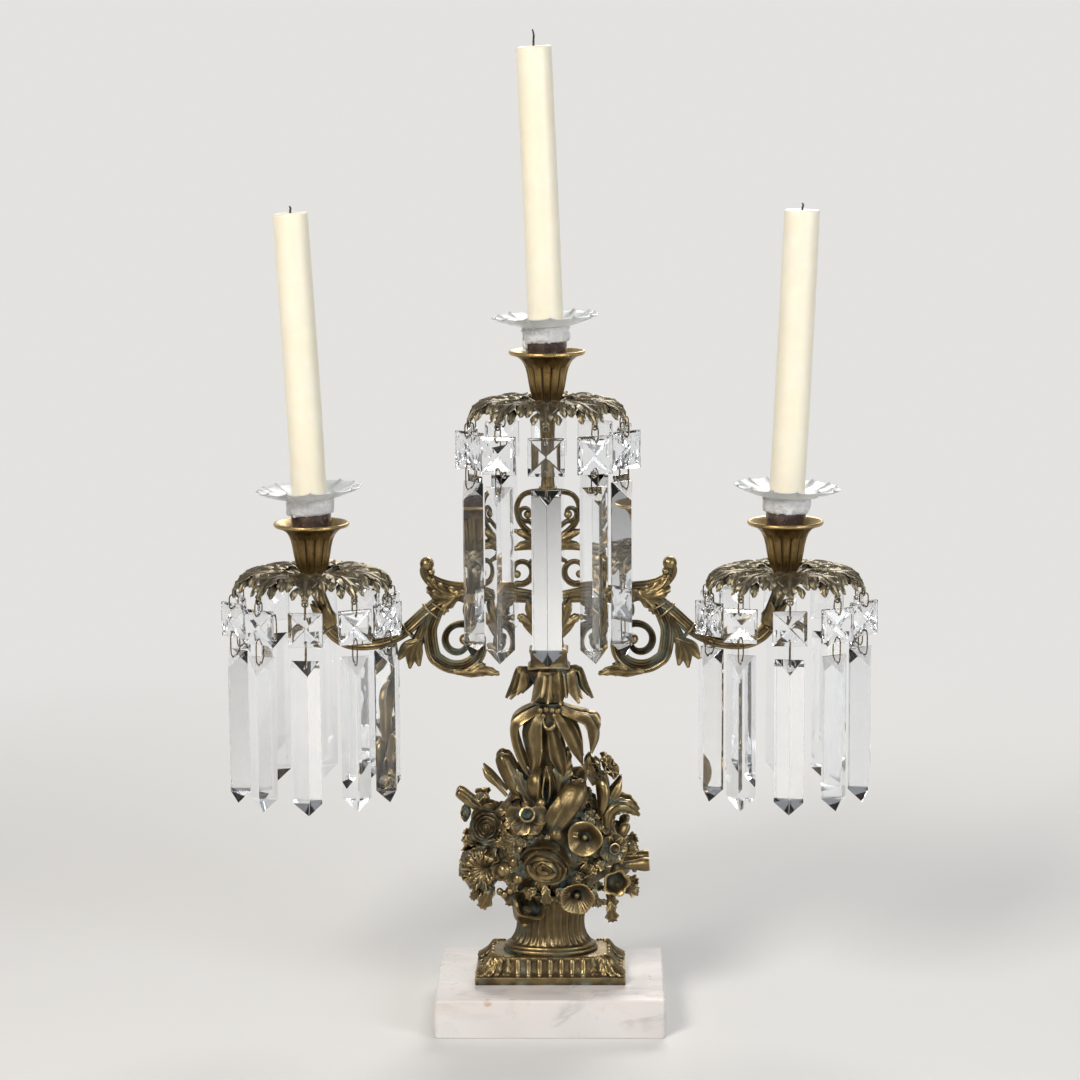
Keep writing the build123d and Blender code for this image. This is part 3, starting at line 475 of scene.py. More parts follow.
def repeats_tree():
    """Geometry Nodes that repeat a shape along a line or round the upright axis, each copy a little different."""
    tree = bpy.data.node_groups.new("repeats", "GeometryNodeTree")
    face, nodes, links = tree.interface, tree.nodes, tree.links
    for name, kind in (("Geometry", "Geometry"), ("Count", "Int"), ("Step", "Vector"), ("Turn", "Float"),
                       ("Size Spread", "Float"), ("Turn Spread", "Vector"), ("Material", "Material")):
        face.new_socket(name, in_out="INPUT", socket_type="NodeSocket" + kind)
    face.new_socket("Geometry", in_out="OUTPUT", socket_type="NodeSocketGeometry")
    given = nodes.new("NodeGroupInput").outputs
    line = nodes.new("GeometryNodeMeshLine")
    links.new(given["Count"], line.inputs["Count"])
    links.new(given["Step"], line.inputs["Offset"])
    turn = nodes.new("ShaderNodeMath")
    turn.operation = "MULTIPLY"
    links.new(nodes.new("GeometryNodeInputIndex").outputs[0], turn.inputs[0])
    links.new(given["Turn"], turn.inputs[1])
    angles = nodes.new("ShaderNodeCombineXYZ")
    links.new(turn.outputs[0], angles.inputs["Z"])
    stray = nodes.new("FunctionNodeRandomValue")
    stray.data_type = "FLOAT_VECTOR"
    stray.inputs["Seed"].default_value = 11
    less = nodes.new("ShaderNodeVectorMath")
    less.operation = "SCALE"
    less.inputs["Scale"].default_value = -1
    links.new(given["Turn Spread"], less.inputs[0])
    links.new(less.outputs[0], stray.inputs[0])
    links.new(given["Turn Spread"], stray.inputs[1])
    swing = nodes.new("ShaderNodeVectorMath")
    swing.operation = "ADD"
    links.new(angles.outputs[0], swing.inputs[0])
    links.new(stray.outputs[0], swing.inputs[1])
    size = nodes.new("FunctionNodeRandomValue")
    size.inputs["Seed"].default_value = 23
    low, high = nodes.new("ShaderNodeMath"), nodes.new("ShaderNodeMath")
    low.operation, high.operation = "SUBTRACT", "ADD"
    low.inputs[0].default_value = high.inputs[0].default_value = 1
    links.new(given["Size Spread"], low.inputs[1])
    links.new(given["Size Spread"], high.inputs[1])
    links.new(low.outputs[0], size.inputs[2])
    links.new(high.outputs[0], size.inputs[3])
    copies = nodes.new("GeometryNodeInstanceOnPoints")
    links.new(line.outputs[0], copies.inputs["Points"])
    links.new(given["Geometry"], copies.inputs["Instance"])
    links.new(swing.outputs[0], copies.inputs["Rotation"])
    links.new(size.outputs[1], copies.inputs["Scale"])
    real = nodes.new("GeometryNodeRealizeInstances")
    links.new(copies.outputs[0], real.inputs[0])
    paint = nodes.new("GeometryNodeSetMaterial")
    links.new(real.outputs[0], paint.inputs["Geometry"])
    links.new(given["Material"], paint.inputs["Material"])
    links.new(paint.outputs[0], nodes.new("NodeGroupOutput").inputs[0])
    return tree


repeats = repeats_tree()


def repeated(parts, count, material, step=(0, 0, 0), turn=0.0, size_spread=0.0, turn_spread=(0, 0, 0)):
    """Copies of a shape made by the tree above, as points in millimetres and faces."""
    points, faces = joined(parts)
    mesh = bpy.data.meshes.new("single")
    mesh.from_pydata(points.tolist(), [], faces)
    thing = bpy.data.objects.new("single", mesh)
    scene.collection.objects.link(thing)
    modifier = thing.modifiers.new("repeats", "NODES")
    modifier.node_group = repeats
    values = {"Count": count, "Step": step, "Turn": turn, "Size Spread": size_spread, "Turn Spread": turn_spread,
              "Material": material}
    for item in repeats.interface.items_tree:
        if item.in_out == "INPUT" and item.name in values:
            modifier[item.identifier] = values[item.name]
    thing.update_tag()
    result = bpy.data.meshes.new_from_object(thing.evaluated_get(bpy.context.evaluated_depsgraph_get()))
    found = np.zeros(len(result.vertices) * 3)
    result.vertices.foreach_get("co", found)
    corners = [tuple(face.vertices) for face in result.polygons]
    bpy.data.objects.remove(thing)
    bpy.data.meshes.remove(result)
    return found.reshape(-1, 3), corners


def patina_group():
    """Old brass: bright worn crests, patchy tarnish, green salts, fine scratches, and hollows darkened to brown with
    dirt and painted shade.
    """
    group = bpy.data.node_groups.new("brass_patina", "ShaderNodeTree")
    face = group.interface
    for name, kind in (("Place", "Vector"), ("Hollow", "Float"), ("Crest", "Float"), ("Body", "Color"), ("Dark", "Color"),
                       ("Bright", "Color"), ("Green", "Float"), ("Polish", "Float")):
        face.new_socket(name, in_out="INPUT", socket_type="NodeSocket" + kind)
    for name, kind in (("Color", "Color"), ("Roughness", "Float"), ("Metallic", "Float"), ("Height", "Float")):
        face.new_socket(name, in_out="OUTPUT", socket_type="NodeSocket" + kind)
    given = group.nodes.new("NodeGroupInput").outputs
    put = group.nodes.new("NodeGroupOutput").inputs
    place = given["Place"]
    tarnish = noise_mix(group, place, 55, 5, 0.36, 0.68, 0.4)
    grain = noise_mix(group, place, 900, 3, 0.3, 0.75)
    colour = blend_colour(group, sum_of(group, "MULTIPLY", tarnish, 0.62), given["Body"], given["Dark"])
    wear = sum_of(group, "MULTIPLY", given["Crest"], noise_mix(group, place, 130, 3, 0.25, 0.6))
    colour = blend_colour(group, sum_of(group, "MINIMUM", wear, 1.0), colour, given["Bright"])
    # Painted shade: hollows found by occlusion are darkened toward the dark colour, as dirt and as the shade that falls
    # in them.
    soil_and_shade = sum_of(group, "MULTIPLY", given["Hollow"], noise_mix(group, place, 90, 4, 0.05, 0.5))
    soil_and_shade = sum_of(group, "MINIMUM", soil_and_shade, 1.0)
    colour = blend_colour(group, soil_and_shade, colour, given["Dark"])
    salts = sum_of(group, "MULTIPLY", noise_mix(group, place, 75, 5, 0.5, 0.62), given["Hollow"])
    salts = sum_of(group, "MINIMUM", sum_of(group, "MULTIPLY", salts, given["Green"]), 0.85)
    colour = blend_colour(group, salts, colour, (0.20, 0.27, 0.24, 1))
    group.links.new(colour, put["Color"])
    dull = sum_of(group, "ADD", sum_of(group, "MULTIPLY", soil_and_shade, 0.3), sum_of(group, "MULTIPLY", tarnish, 0.12))
    dull = sum_of(group, "ADD", sum_of(group, "ADD", dull, sum_of(group, "MULTIPLY", grain, 0.08)), given["Polish"])
    dull = sum_of(group, "ADD", dull, sum_of(group, "MULTIPLY", salts, 0.35))
    group.links.new(dull, put["Roughness"])
    group.links.new(sum_of(group, "SUBTRACT", 1.0, sum_of(group, "MULTIPLY", sum_of(group, "MAXIMUM", soil_and_shade, salts), 0.55)),
                    put["Metallic"])
    pits = sum_of(group, "ADD", sum_of(group, "MULTIPLY", grain, 0.35), noise_mix(group, place, 260, 4, 0.3, 0.7))
    group.links.new(pits, put["Height"])
    return group


patina = patina_group()


def brass_finish(name, body, dark, bright, green, polish, reach=0.005):
    """A brass finish with its own colours. Its hollows are found by ambient occlusion, how closed in each point is, and
    get both dirt and painted shade from it.
    """
    material, tree, shader, place = new_material(name)
    worn = tree.nodes.new("ShaderNodeGroup")
    worn.node_tree = patina
    # The occlusion here marks closed-in places, and the patina darkens them: painted shade in the colour, along with
    # dirt.
    shut = tree.nodes.new("ShaderNodeAmbientOcclusion")
    shut.samples = 6
    shut.inputs["Distance"].default_value = reach
    hollow = tree.nodes.new("ShaderNodeMapRange")
    hollow.inputs["From Min"].default_value = 0.92
    hollow.inputs["From Max"].default_value = 0.3
    tree.links.new(shut.outputs["AO"], hollow.inputs["Value"])
    crest = tree.nodes.new("ShaderNodeMapRange")
    crest.inputs["From Min"].default_value = 0.5
    crest.inputs["From Max"].default_value = 0.6
    tree.links.new(tree.nodes.new("ShaderNodeNewGeometry").outputs["Pointiness"], crest.inputs["Value"])
    tree.links.new(place, worn.inputs["Place"])
    tree.links.new(hollow.outputs[0], worn.inputs["Hollow"])
    tree.links.new(crest.outputs[0], worn.inputs["Crest"])
    for label, value in (("Body", body), ("Dark", dark), ("Bright", bright), ("Green", green), ("Polish", polish)):
        worn.inputs[label].default_value = value
    tree.links.new(worn.outputs["Color"], shader.inputs["Base Color"])
    tree.links.new(worn.outputs["Roughness"], shader.inputs["Roughness"])
    tree.links.new(worn.outputs["Metallic"], shader.inputs["Metallic"])
    bump(tree, shader, worn.outputs["Height"], 0.00025, 0.45)
    return material


aged_brass = brass_finish("aged_brass", (0.165, 0.118, 0.056, 1), (0.028, 0.021, 0.014, 1), (0.56, 0.41, 0.19, 1), 0.9, 0.27, 0.008)


def block_level(width, depth, height, corner=1.0):
    flat = block_outline(width, depth, corner, 14)
    return np.column_stack([flat, np.full(len(flat), height)])


slab_top = FOOT_LOW + SLAB[2]
foot_rings = [block_level(14, 14, FOOT_LOW, 6.9), block_level(SLAB[0] - 0.6, SLAB[1] - 0.6, FOOT_LOW),
              block_level(SLAB[0], SLAB[1], FOOT_LOW + 0.4), block_level(SLAB[0], SLAB[1], slab_top - 0.7),
              block_level(SLAB[0] - 0.7, SLAB[1] - 0.7, slab_top - 0.1)]
cove_out = [10.6, 9.8, 7.2, 4.8, 3.0, 1.7, 0.9]
cove_up = [0.0, 0.5, 1.6, 3.2, 5.2, 7.2, 8.6]
for out, up in zip(cove_out, cove_up):
    foot_rings.append(block_level(PLATFORM[0] + 2 * out, PLATFORM[1] + 1.22 * out, slab_top + up, 1.5))
for inset, height in ((-0.9, 38.6), (-0.9, 39.8), (-0.3, 40.6), (0.6, FOOT_TOP)):
    foot_rings.append(block_level(PLATFORM[0] - 2 * inset, PLATFORM[1] - 2 * inset, height, 1.5))
foot_rings += [block_level(14, 14, FOOT_TOP, 6.9)]
foot_parts = [skin(foot_rings)]


def reed(edge, share):
    """One reed from under the platform down the hollow to its bead, for a side at the edge distance."""
    path = [(0, -(edge + 0.5), slab_top + 10.9), (0, -(edge + 1.0 * share + 0.4), slab_top + 8.7),
            (0, -(edge + 1.9 * share + 0.3), slab_top + 6.3), (0, -(edge + 4.3 * share), slab_top + 3.2),
            (0, -(edge + 7.4 * share), slab_top + 1.1)]
    rod = bar(path, [2.6, 3.9, 4.4, 4.3, 3.2], [1.4, 2.8, 3.4, 3.2, 2.2], up=(0, -1, 1), rows=18, sides=10)
    lip = bar([(-2.4, path[0][1] - 0.1, path[0][2] - 2.6), (-1.9, path[0][1] - 0.9, path[0][2] - 0.7), (0, path[0][1] - 1.2, path[0][2] + 0.2),
               (1.9, path[0][1] - 0.9, path[0][2] - 0.7), (2.4, path[0][1] - 0.1, path[0][2] - 2.6)], 0.8, 1.1, rows=10, sides=6)
    bead = ball((0, -(edge + 9.1 * share), slab_top + 0.7), 1.5, (1, 0.9, 1), 7, 10)
    return [rod, lip, bead]


def palm(edge, share, lean):
    """A palm leaf beside the reeds, fanning down to the corner."""
    path = [(0, -(edge + 1.0 * share), slab_top + 10.6), (lean * 0.35, -(edge + 2.4 * share), slab_top + 6.2),
            (lean * 0.8, -(edge + 5.6 * share), slab_top + 2.4), (lean * 1.1, -(edge + 8.8 * share), slab_top + 0.9)]
    return leaf(path, [1.2, 3.0, 3.4, 1.6], (0, -1, 1), 2.2, 4, 0.35, -0.12, 0.3, 0.45, rows=28, across=10, keel=0.25)


for side, (length, edge, share) in enumerate(((PLATFORM[0], PLATFORM[1] / 2, 0.61), (PLATFORM[1], PLATFORM[0] / 2, 1.0)) * 2):
    count = 7 if side % 2 == 0 else 3
    start = -REED_PITCH * (count - 1) / 2
    row = placed(repeated(reed(edge, share), count, aged_brass, step=(REED_PITCH, 0, 0)),
                 Matrix.Translation((start, 0, 0)))
    fans = []
    for sign in (1, -1):
        for place in range(2):
            one = palm(edge, share, sign * (1.5 + 2.5 * place))
            fans.append(placed(one, Matrix.Translation((sign * (-start + REED_PITCH * (0.85 + 0.7 * place)), 0, 0))))
    for part in [row] + (fans if side % 2 == 0 else fans[:1] + fans[2:3]):
        foot_parts.append(placed(part, Matrix.Rotation(math.radians(90 * side), 4, "Z")))
for sx, sy in ((1, 1), (-1, 1), (-1, -1), (1, -1)):
    high = np.array([sx * PLATFORM[0] / 2, sy * PLATFORM[1] / 2, 0])
    low = np.array([sx * SLAB[0] / 2, sy * SLAB[1] / 2, 0])
    for back_x, back_y, wide in ((12.5, 0.8, 2.4), (6.8, 0.4, 3.0), (0.9, 0.9, 3.8), (0.4, 6.2, 3.0), (0.8, 11.2, 2.4)):
        tip = low - (sx * back_x, sy * back_y, 0)
        root = high - (sx * back_x * 0.35, sy * back_y * 0.35, 0)
        out = unit(tip - root)
        spine = [root * 0.96 + (0, 0, 40.9), root + (tip - root) * 0.16 + (0, 0, 39.8), root + (tip - root) * 0.42 + (0, 0, 35.6),
                 root + (tip - root) * 0.76 + (0, 0, 32.2), tip + (0, 0, 30.5)]
        foot_parts.append(leaf(spine, [1.2, wide * 0.8, wide, wide, 0.7], out + (0, 0, 1.0), 2.0, 4, 0.3, 0.0, 0.35, 0.4,
                               rows=34, across=12, keel=0.35))
piece("cast_foot", foot_parts, "root", aged_brass, ["foot"])

# Basket: the round ring moulding it stands on, and a waisted basket of upright slats with fine hatching between.
# It is one oval casting, held to the foot by the rod through its middle.
BASKET_OVAL = 0.62
basket_levels = [(41.0, 29.2), (41.6, 29.9), (42.8, 30.1), (43.6, 29.4), (44.0, 28.6), (44.6, 28.9), (45.6, 28.5),
                 (46.2, 27.4), (46.6, 26.2), (47.6, 25.4), (49.5, 23.6), (52, 22.2), (55, 21.3), (58.5, 20.9), (62, 21.0),
                 (66, 21.7), (70, 22.9), (74, 24.8), (77, 26.8), (79.2, 28.4), (80, 28.6), (80.0, 26.5), (76, 23.0), (74.3, 8)]
turns = np.linspace(0, 2 * np.pi, 420, endpoint=False)
basket_rings = []
for height, radius in basket_levels:
    rib = np.clip((height - 46.6) / 3, 0, 1) * np.clip((80.2 - height) / 2, 0, 1)
    wave = np.cos(30 * turns)
    slat = np.clip(wave * 1.6, -1, 1) * 0.55 + 0.12 * np.cos(90 * turns)
    spread = radius + rib * slat
    basket_rings.append(np.stack([spread * np.cos(turns), BASKET_OVAL * spread * np.sin(turns),
                                  np.full(len(turns), height)], 1))
basket_rings.insert(0, np.stack([8 * np.cos(turns), 6 * np.sin(turns), np.full(len(turns), 41.0)], 1))
piece("basket_casting", [skin(basket_rings)], "root", aged_brass, ["basket"], 60)

# Bouquet: one casting of garden flowers, buds and leaves that fills the basket, the same on its front and its back.
# Each flower is worked as the chaser left it, petal by petal, over a mound of small leaves.
MOUND = [(77, 20.0), (82, 27.0), (90, 39.0), (100, 44.5), (110, 45.5), (120, 44.0), (128, 40.0), (136, 33.0), (145, 23.5),
         (154, 14.0), (162, 8.5), (172.5, 6.5)]
MOUND_OVAL = 0.5
rng = np.random.default_rng(7)


def facing(point, look, roll=0.0):
    """A place at a point, with its upright axis turned to look along a direction."""
    turned = Vector(look).normalized().to_track_quat("Z", "Y").to_matrix().to_4x4()
    return Matrix.Translation(point) @ turned @ Matrix.Rotation(math.radians(roll), 4, "Z")


def turned_bowl(levels, waves=0, wave=0.0, flutes=0, flute=0.0, sides=60):
    """A round shape through (radius, height, share of the wave) levels, its rim waved and its wall fluted."""
    angle = np.linspace(0, 2 * np.pi, sides, endpoint=False)
    rings = []
    for radius, height, share in levels:
        reach = radius * (1 + share * wave * np.cos(waves * angle)) + share * flute * np.cos(flutes * angle)
        rise = height + share * wave * radius * 0.7 * np.sin(waves * angle + 0.7)
        rings.append(np.stack([reach * np.cos(angle), reach * np.sin(angle), rise], 1))
    return skin(rings)


def trumpet(radius, depth, flutes=22, waves=5):
    """A morning glory: a fluted funnel with a rolled rim and a round pistil on its stalk."""
    levels = [(1.6, -depth * 1.3, 0), (2.4, -depth * 0.9, 0), (radius * 0.45, -depth * 0.6, 0.1), (radius * 0.8, -depth * 0.3, 0.4),
              (radius * 0.99, -0.6, 1), (radius, 0.2, 1), (radius * 0.95, 0.5, 1), (radius * 0.84, -0.2, 1),
              (radius * 0.62, -depth * 0.2, 1), (radius * 0.4, -depth * 0.4, 0.8), (radius * 0.25, -depth * 0.7, 0.3),
              (0.8, -depth * 0.8, 0)]
    return [turned_bowl(levels, waves, 0.035, flutes, 0.22, 88), ball((0, 0, -depth * 0.42), radius * 0.17),
            bar([(0, 0, -depth * 0.9), (0, 0, -depth * 0.4)], [2, 1.6], 1.8, rows=5, sides=8)]


def shell(radius, height, span, turn, flare=1.5, closed=0.3, thickness=1.0, rows=12, across=14, droop=0.3):
    """One cupped petal: a piece of a bowl's wall with a rounded edge that rolls outward."""
    edge = np.linspace(-1, 1, across + 1)[None, :]
    up = np.linspace(0.02, 1, rows)[:, None]
    angle = math.radians(turn) + edge * math.radians(span) / 2
    reach = radius * (closed + (1 - closed) * np.sin(up * np.pi / 2)) + flare * up**5
    rise = height * up * (1 - droop * np.abs(edge) ** 2.5) - flare * 0.5 * up**6
    grid = np.stack([reach * np.cos(angle), reach * np.sin(angle), rise * np.ones_like(edge)], 2)
    normal = unit(np.cross(np.gradient(grid, axis=1), np.gradient(grid, axis=0)))
    half = thickness / 2 * (1 - 0.4 * np.abs(edge) ** 4) * np.ones_like(up)
    upper, lower = grid + normal * half[..., None], grid - normal * half[..., None]
    return skin(np.concatenate([upper, lower[:, ::-1]], axis=1))


def rose(radius):
    """A full rose: rounds of petals wrapped one over the other round its heart, their rims rolled a little outward."""
    parts = [ball((0, 0, -radius * 0.3), radius * 0.62, (1, 1, 1), 12, 24)]
    edge, up = np.linspace(-1, 1, 19)[None, :], np.linspace(0, 1, 16)[:, None]
    rounds = ((1.0, 84, 3), (0.87, 66, 3), (0.74, 55, 3), (0.6, 46, 3), (0.45, 36, 2), (0.29, 26, 2), (0.14, 12, 2))
    for layer, (share, opening, petals) in enumerate(rounds):
        for petal in range(petals):
            angle = math.radians(360 * petal / petals + 52 * layer) + edge * math.radians(430 / petals) / 2
            polar = np.radians(160 - (160 - opening + rng.uniform(-5, 5)) * up * (1 - 0.13 * np.abs(edge) ** 3))
            swell = radius * share * (1 + 0.035 * (petal - 1) + 0.075 * up**7)
            grid = np.stack([swell * np.sin(polar) * np.cos(angle), swell * np.sin(polar) * np.sin(angle), swell * np.cos(polar)], 2)
            normal = unit(np.cross(np.gradient(grid, axis=1), np.gradient(grid, axis=0)))
            half = 0.55 * (1 - 0.4 * np.abs(edge) ** 4) * np.ones_like(up)
            upper, lower = grid + normal * half[..., None], grid - normal * half[..., None]
            parts.append(skin(np.concatenate([upper, lower[:, ::-1]], axis=1)))
    return parts


def rosette(radius, height, rounds=4):
    """A flat double flower: rounds of small round petals, and a button in its middle."""
    parts = [turned_bowl([(radius * 0.3, -height * 1.2, 0), (radius * 0.9, -height * 0.7, 0), (radius * 0.9, -height * 0.5, 0),
                          (radius * 0.2, 0, 0)], sides=30)]
    for layer in range(rounds):
        share = 1 - layer * 0.23
        petals = 8 - layer
        for petal in range(petals):
            turn = 360 * (petal + 0.5 * (layer % 2)) / petals
            wall = shell(radius * share, height * 0.8, 440 / petals, turn, 0.5, 0.4, 1.0, 8, 8, 0.35)
            parts.append(placed(wall, Matrix.Translation((0, 0, -height * (0.95 - 0.16 * layer)))))
    parts.append(ball((0, 0, -height * 0.05), radius * 0.14))
    return parts


def open_flower(radius, petals, width, cup=0.2, tube=0.0, tube_height=0.0, fan=360):
    """Petals spread round a tube or an eye, all round it or over a fan of degrees."""
    parts = []
    for petal in range(petals):
        turn = Matrix.Rotation(math.radians(fan) * petal / petals, 4, "Z")
        spine = [(0.5, 0, -1.8), (radius * 0.4, 0, -0.4), (radius * 0.75, 0, -0.3 + cup * 2), (radius, 0, cup * 3 - 1.0)]
        parts.append(placed(leaf(spine, [width * 0.35, width * 0.85, width, width * 0.22], (0, 0, 1), 1.2, 0, 0, cup,
                                 vein=-0.35, rows=16, across=10), turn))
    if tube:
        wall = [(tube * 0.7, -1.5, 0), (tube * 0.9, tube_height * 0.5, 0), (tube * 1.08, tube_height, 0.6),
                (tube * 0.86, tube_height + 0.2, 0.6), (tube * 0.62, tube_height * 0.55, 0), (tube * 0.3, tube_height * 0.2, 0)]
        parts.append(turned_bowl(wall, 6, 0.03, sides=36))
    return parts


def bell(radius, depth, lobes=5):
    """A deep cup flower with a lobed, rolled rim."""
    levels = [(1.2, -depth * 1.15, 0), (radius * 0.55, -depth * 0.95, 0), (radius * 0.85, -depth * 0.5, 0.2), (radius * 0.93, -depth * 0.2, 0.5),
              (radius * 1.05, -0.3, 1), (radius * 1.03, 0.3, 1), (radius * 0.86, 0.0, 1), (radius * 0.72, -depth * 0.25, 0.4),
              (radius * 0.62, -depth * 0.55, 0), (radius * 0.2, -depth * 0.8, 0)]
    return [turned_bowl(levels, lobes, 0.09, sides=50)]


def bud(path, radius, petals=3, depth=None):
    """A closed bud along a path, with the seams between its wrapped petals."""
    widths = [radius * 0.55, radius * 1.5, radius * 2, radius * 1.75, radius * 0.5]
    return bar(path, widths, [value * (depth or 1.0) for value in widths], rows=26, sides=36, flutes=petals, groove=0.17)


def mound_half(height):
    """Half the mound's width at a height."""
    return float(np.interp(height, [level[0] for level in MOUND], [level[1] for level in MOUND]))


def on_mound(x, z, proud=0.0):
    """A point of the mound's front skin, and the way it looks."""
    wide = mound_half(z)
    share = np.clip(x / wide, -0.97, 0.97)
    depth = MOUND_OVAL * wide * math.sqrt(1 - share**2)
    slope = (mound_half(z + 3) - mound_half(z - 3)) / 6
    look = Vector((share, -math.sqrt(1 - share**2) / MOUND_OVAL * 0.8, -slope * 0.8)).normalized()
    return Vector((x, -depth, z)) + look * proud, look


mound_turns = np.linspace(0, 2 * np.pi, 72, endpoint=False)
mound_rings = []
for height, radius in MOUND:
    lump = radius - 2.2 + (0.9 * np.sin(5 * mound_turns + height * 0.3) + 0.7 * np.sin(9 * mound_turns - height * 0.5)) * min(radius / 30, 1)
    mound_rings.append(np.stack([lump * np.cos(mound_turns), lump * MOUND_OVAL * np.sin(mound_turns),
                                 np.full(72, height)], 1))
bouquet_core = [skin(mound_rings)]
for step in range(104):
    height = 82 + 66 * ((step * 0.618) % 1.0)
    share = -0.9 + 1.8 * ((step * 0.377) % 1.0)
    point, look = on_mound(share * mound_half(height), height, -1.2)
    stray = Vector(rng.uniform(-1, 1, 3))
    along = look.cross(stray).normalized()
    reach = rng.uniform(5.5, 8.5)
    spine = [point - along * reach * 0.5, point + look * 2.0, point + along * reach * 0.6 + look * 3.0, point + along * reach + look * 1.6]
    bouquet_core.append(leaf([tuple(p) for p in spine], [1.2, 2.8, 2.4, 0.5], tuple(look), 1.1, 3, 0.3, 0.15, 0.4, 0.3,
                             rows=14, across=8))

face_parts = []


def set_flower(parts, point, look, roll=0.0):
    """Put a flower's shapes on the front."""
    place = facing(point, look, roll)
    for part in parts:
        face_parts.append(placed(part, place))


set_flower(rose(15.0), (-2.4, -24.5, 103.5), (-0.25, -1, -0.75))
set_flower(trumpet(11.2, 9, 5, 3), (21.9, -25.5, 119.5), (-0.10, -1, 0.02))
set_flower(trumpet(10.9, 11, 26), (17.3, -25.0, 80.5), (0.05, -1, -0.22))
set_flower(open_flower(9.5, 6, 4.6, 0.5, 3.4, 3.0), (39.8, -18.0, 111.5), (0.45, -1, 0.1), 20)
set_flower(bell(8.2, 11), (42.0, -18.5, 88.8), (0.25, -1, -0.05))
set_flower(open_flower(13.5, 4, 6.0, 0.3, 4.6, 6.5, fan=232), (-14.0, -22.5, 134.0), (0.05, -1, 0.35), 183)
set_flower(rosette(10.5, 7), (-40.0, -15.5, 124.5), (-0.25, -1, 0.1))
set_flower(rosette(4.8, 4, 3), (-55.0, -3.0, 130.5), (-1, -0.5, 0.1))
face_parts.append(bar([(-44, -5, 133.5), (-49, -6, 137.4), (-57.0, -5, 144.0), (-58.6, -5, 145.3)], [4, 5.8, 6.2, 2.6], [4, 5.8, 6.2, 2.6],
                      rows=18, sides=14))
set_flower(open_flower(5.0, 4, 2.6, 1.2, 2.2, 4.0), (-42.5, -8.0, 139.5), (-0.1, -0.25, 1))
face_parts.append(bud([(-16, -9, 138), (-20.5, -9, 147), (-25.5, -8, 158), (-29.5, -6.5, 167), (-30.6, -6, 170.2)], 5.6, 4, 0.8))
face_parts.append(bar([(-27, -8, 143), (-33, -8, 150), (-38.5, -7, 155.5), (-42.0, -6, 160.8)], [2.4, 3.2, 4.6, 1.2], [2.0, 3.0, 3.8, 1.0],
                      rows=20, sides=12))
face_parts.append(leaf([(-10, -13, 136), (-14, -13.5, 145), (-18, -12, 153), (-20.5, -9.5, 160.5)], [2.0, 4.6, 3.6, 0.5],
                       (0, -1, 0.2), 1.4, 3, 0.35, 0.2, 0.5, 0.5))
face_parts.append(bud([(-7, -14, 139), (-8.5, -17, 147), (-9.0, -16.5, 155), (-6.5, -13.5, 162.2)], 4.9, 3, 1.1))
for side in (-1, 1):
    face_parts.append(leaf([(-1.5, -14, 138), (-2.0 + side * 2.8, -16.5, 146), (-1.5 + side * 2.4, -16, 155), (-1.5, -12.5, 163.0)],
                           [1.8, 3.0, 2.6, 0.5], (side, -0.6, 0), 1.6, 0, 0, 0.35, 0, 0.3))
face_parts.append(leaf([(5, -11, 138), (6.5, -12.5, 149), (8.5, -11, 159), (12.0, -7, 171)], [3.0, 6.0, 6.0, 0.8],
                       (0.1, -1, 0.1), 1.6, 4, 0.25, -0.12, 0.4, 0.7, rows=40, across=18))
face_parts.append(bud([(2, -21, 122), (5.5, -23.5, 130), (11.5, -23, 140), (17.5, -19.5, 149), (21.5, -16, 155)], 9.2, 3, 0.9))
for lean in (-1, 1):
    face_parts.append(leaf([(1.5, -22, 121), (6 + lean * 3.0, -28, 131), (12 + lean * 2.8, -27.5, 142), (21, -18.5, 156)],
                           [2.5, 6.0, 5.6, 0.8], (0.3 + lean * 0.5, -1, -0.2), 1.3, 0, 0, -0.3, 0, 0.3))
face_parts.append(ball((4.1, -29, 123.2), 4.1))
set_flower(open_flower(8.6, 6, 2.9, 0.9, 3.0, 2.0), (36.5, -5.0, 160.0), (0.75, -0.35, 0.55), 10)
set_flower(trumpet(4.4, 6, 10), (27.8, -10.5, 160.0), (-0.45, -1, 0.1))
face_parts.append(leaf([(29, -7, 150), (26, -8, 158), (24.5, -7.5, 163), (25.2, -7, 168)], [2.2, 3.2, 2.6, 0.4], (0, -1, 0.1), 1.4,
                       0, 0, 0.3))
face_parts.append(bud([(30.5, -13, 130), (33.5, -13.5, 137), (34.2, -12, 145), (33, -10, 152), (32.5, -9, 155)], 4.6, 3))
face_parts.append(leaf([(36, -10, 133), (39.5, -9.5, 141), (43, -8, 147), (45.2, -6, 153)], [2.0, 3.0, 2.4, 0.5], (0.4, -1, 0),
                       2.2, 0, 0, 0.35))
frond = [(36.0, -14, 124), (37.5, -14, 133), (43.5, -12.5, 137.5), (50.5, -10, 136), (56.5, -7, 130)]
face_parts.append(leaf(frond, [3.0, 4.8, 5.2, 4.6, 1.0], (0.2, -0.9, 0.5), 1.8, 6, 0.18, -0.25, 0.1, 0.3, 1.1, rows=60, across=14))
face_parts.append(bud([(43.5, -14, 117), (46.5, -13, 120.5), (48, -11, 124), (48.4, -10, 126.5)], 3.6, 3))
face_parts.append(bar([(47, -10, 98.2), (54, -9.5, 98.4), (59.5, -9, 98.6), (62.9, -9, 98.8)], [5, 6.6, 9, 8.4], [5, 6.6, 9, 8.4], rows=20, sides=18))
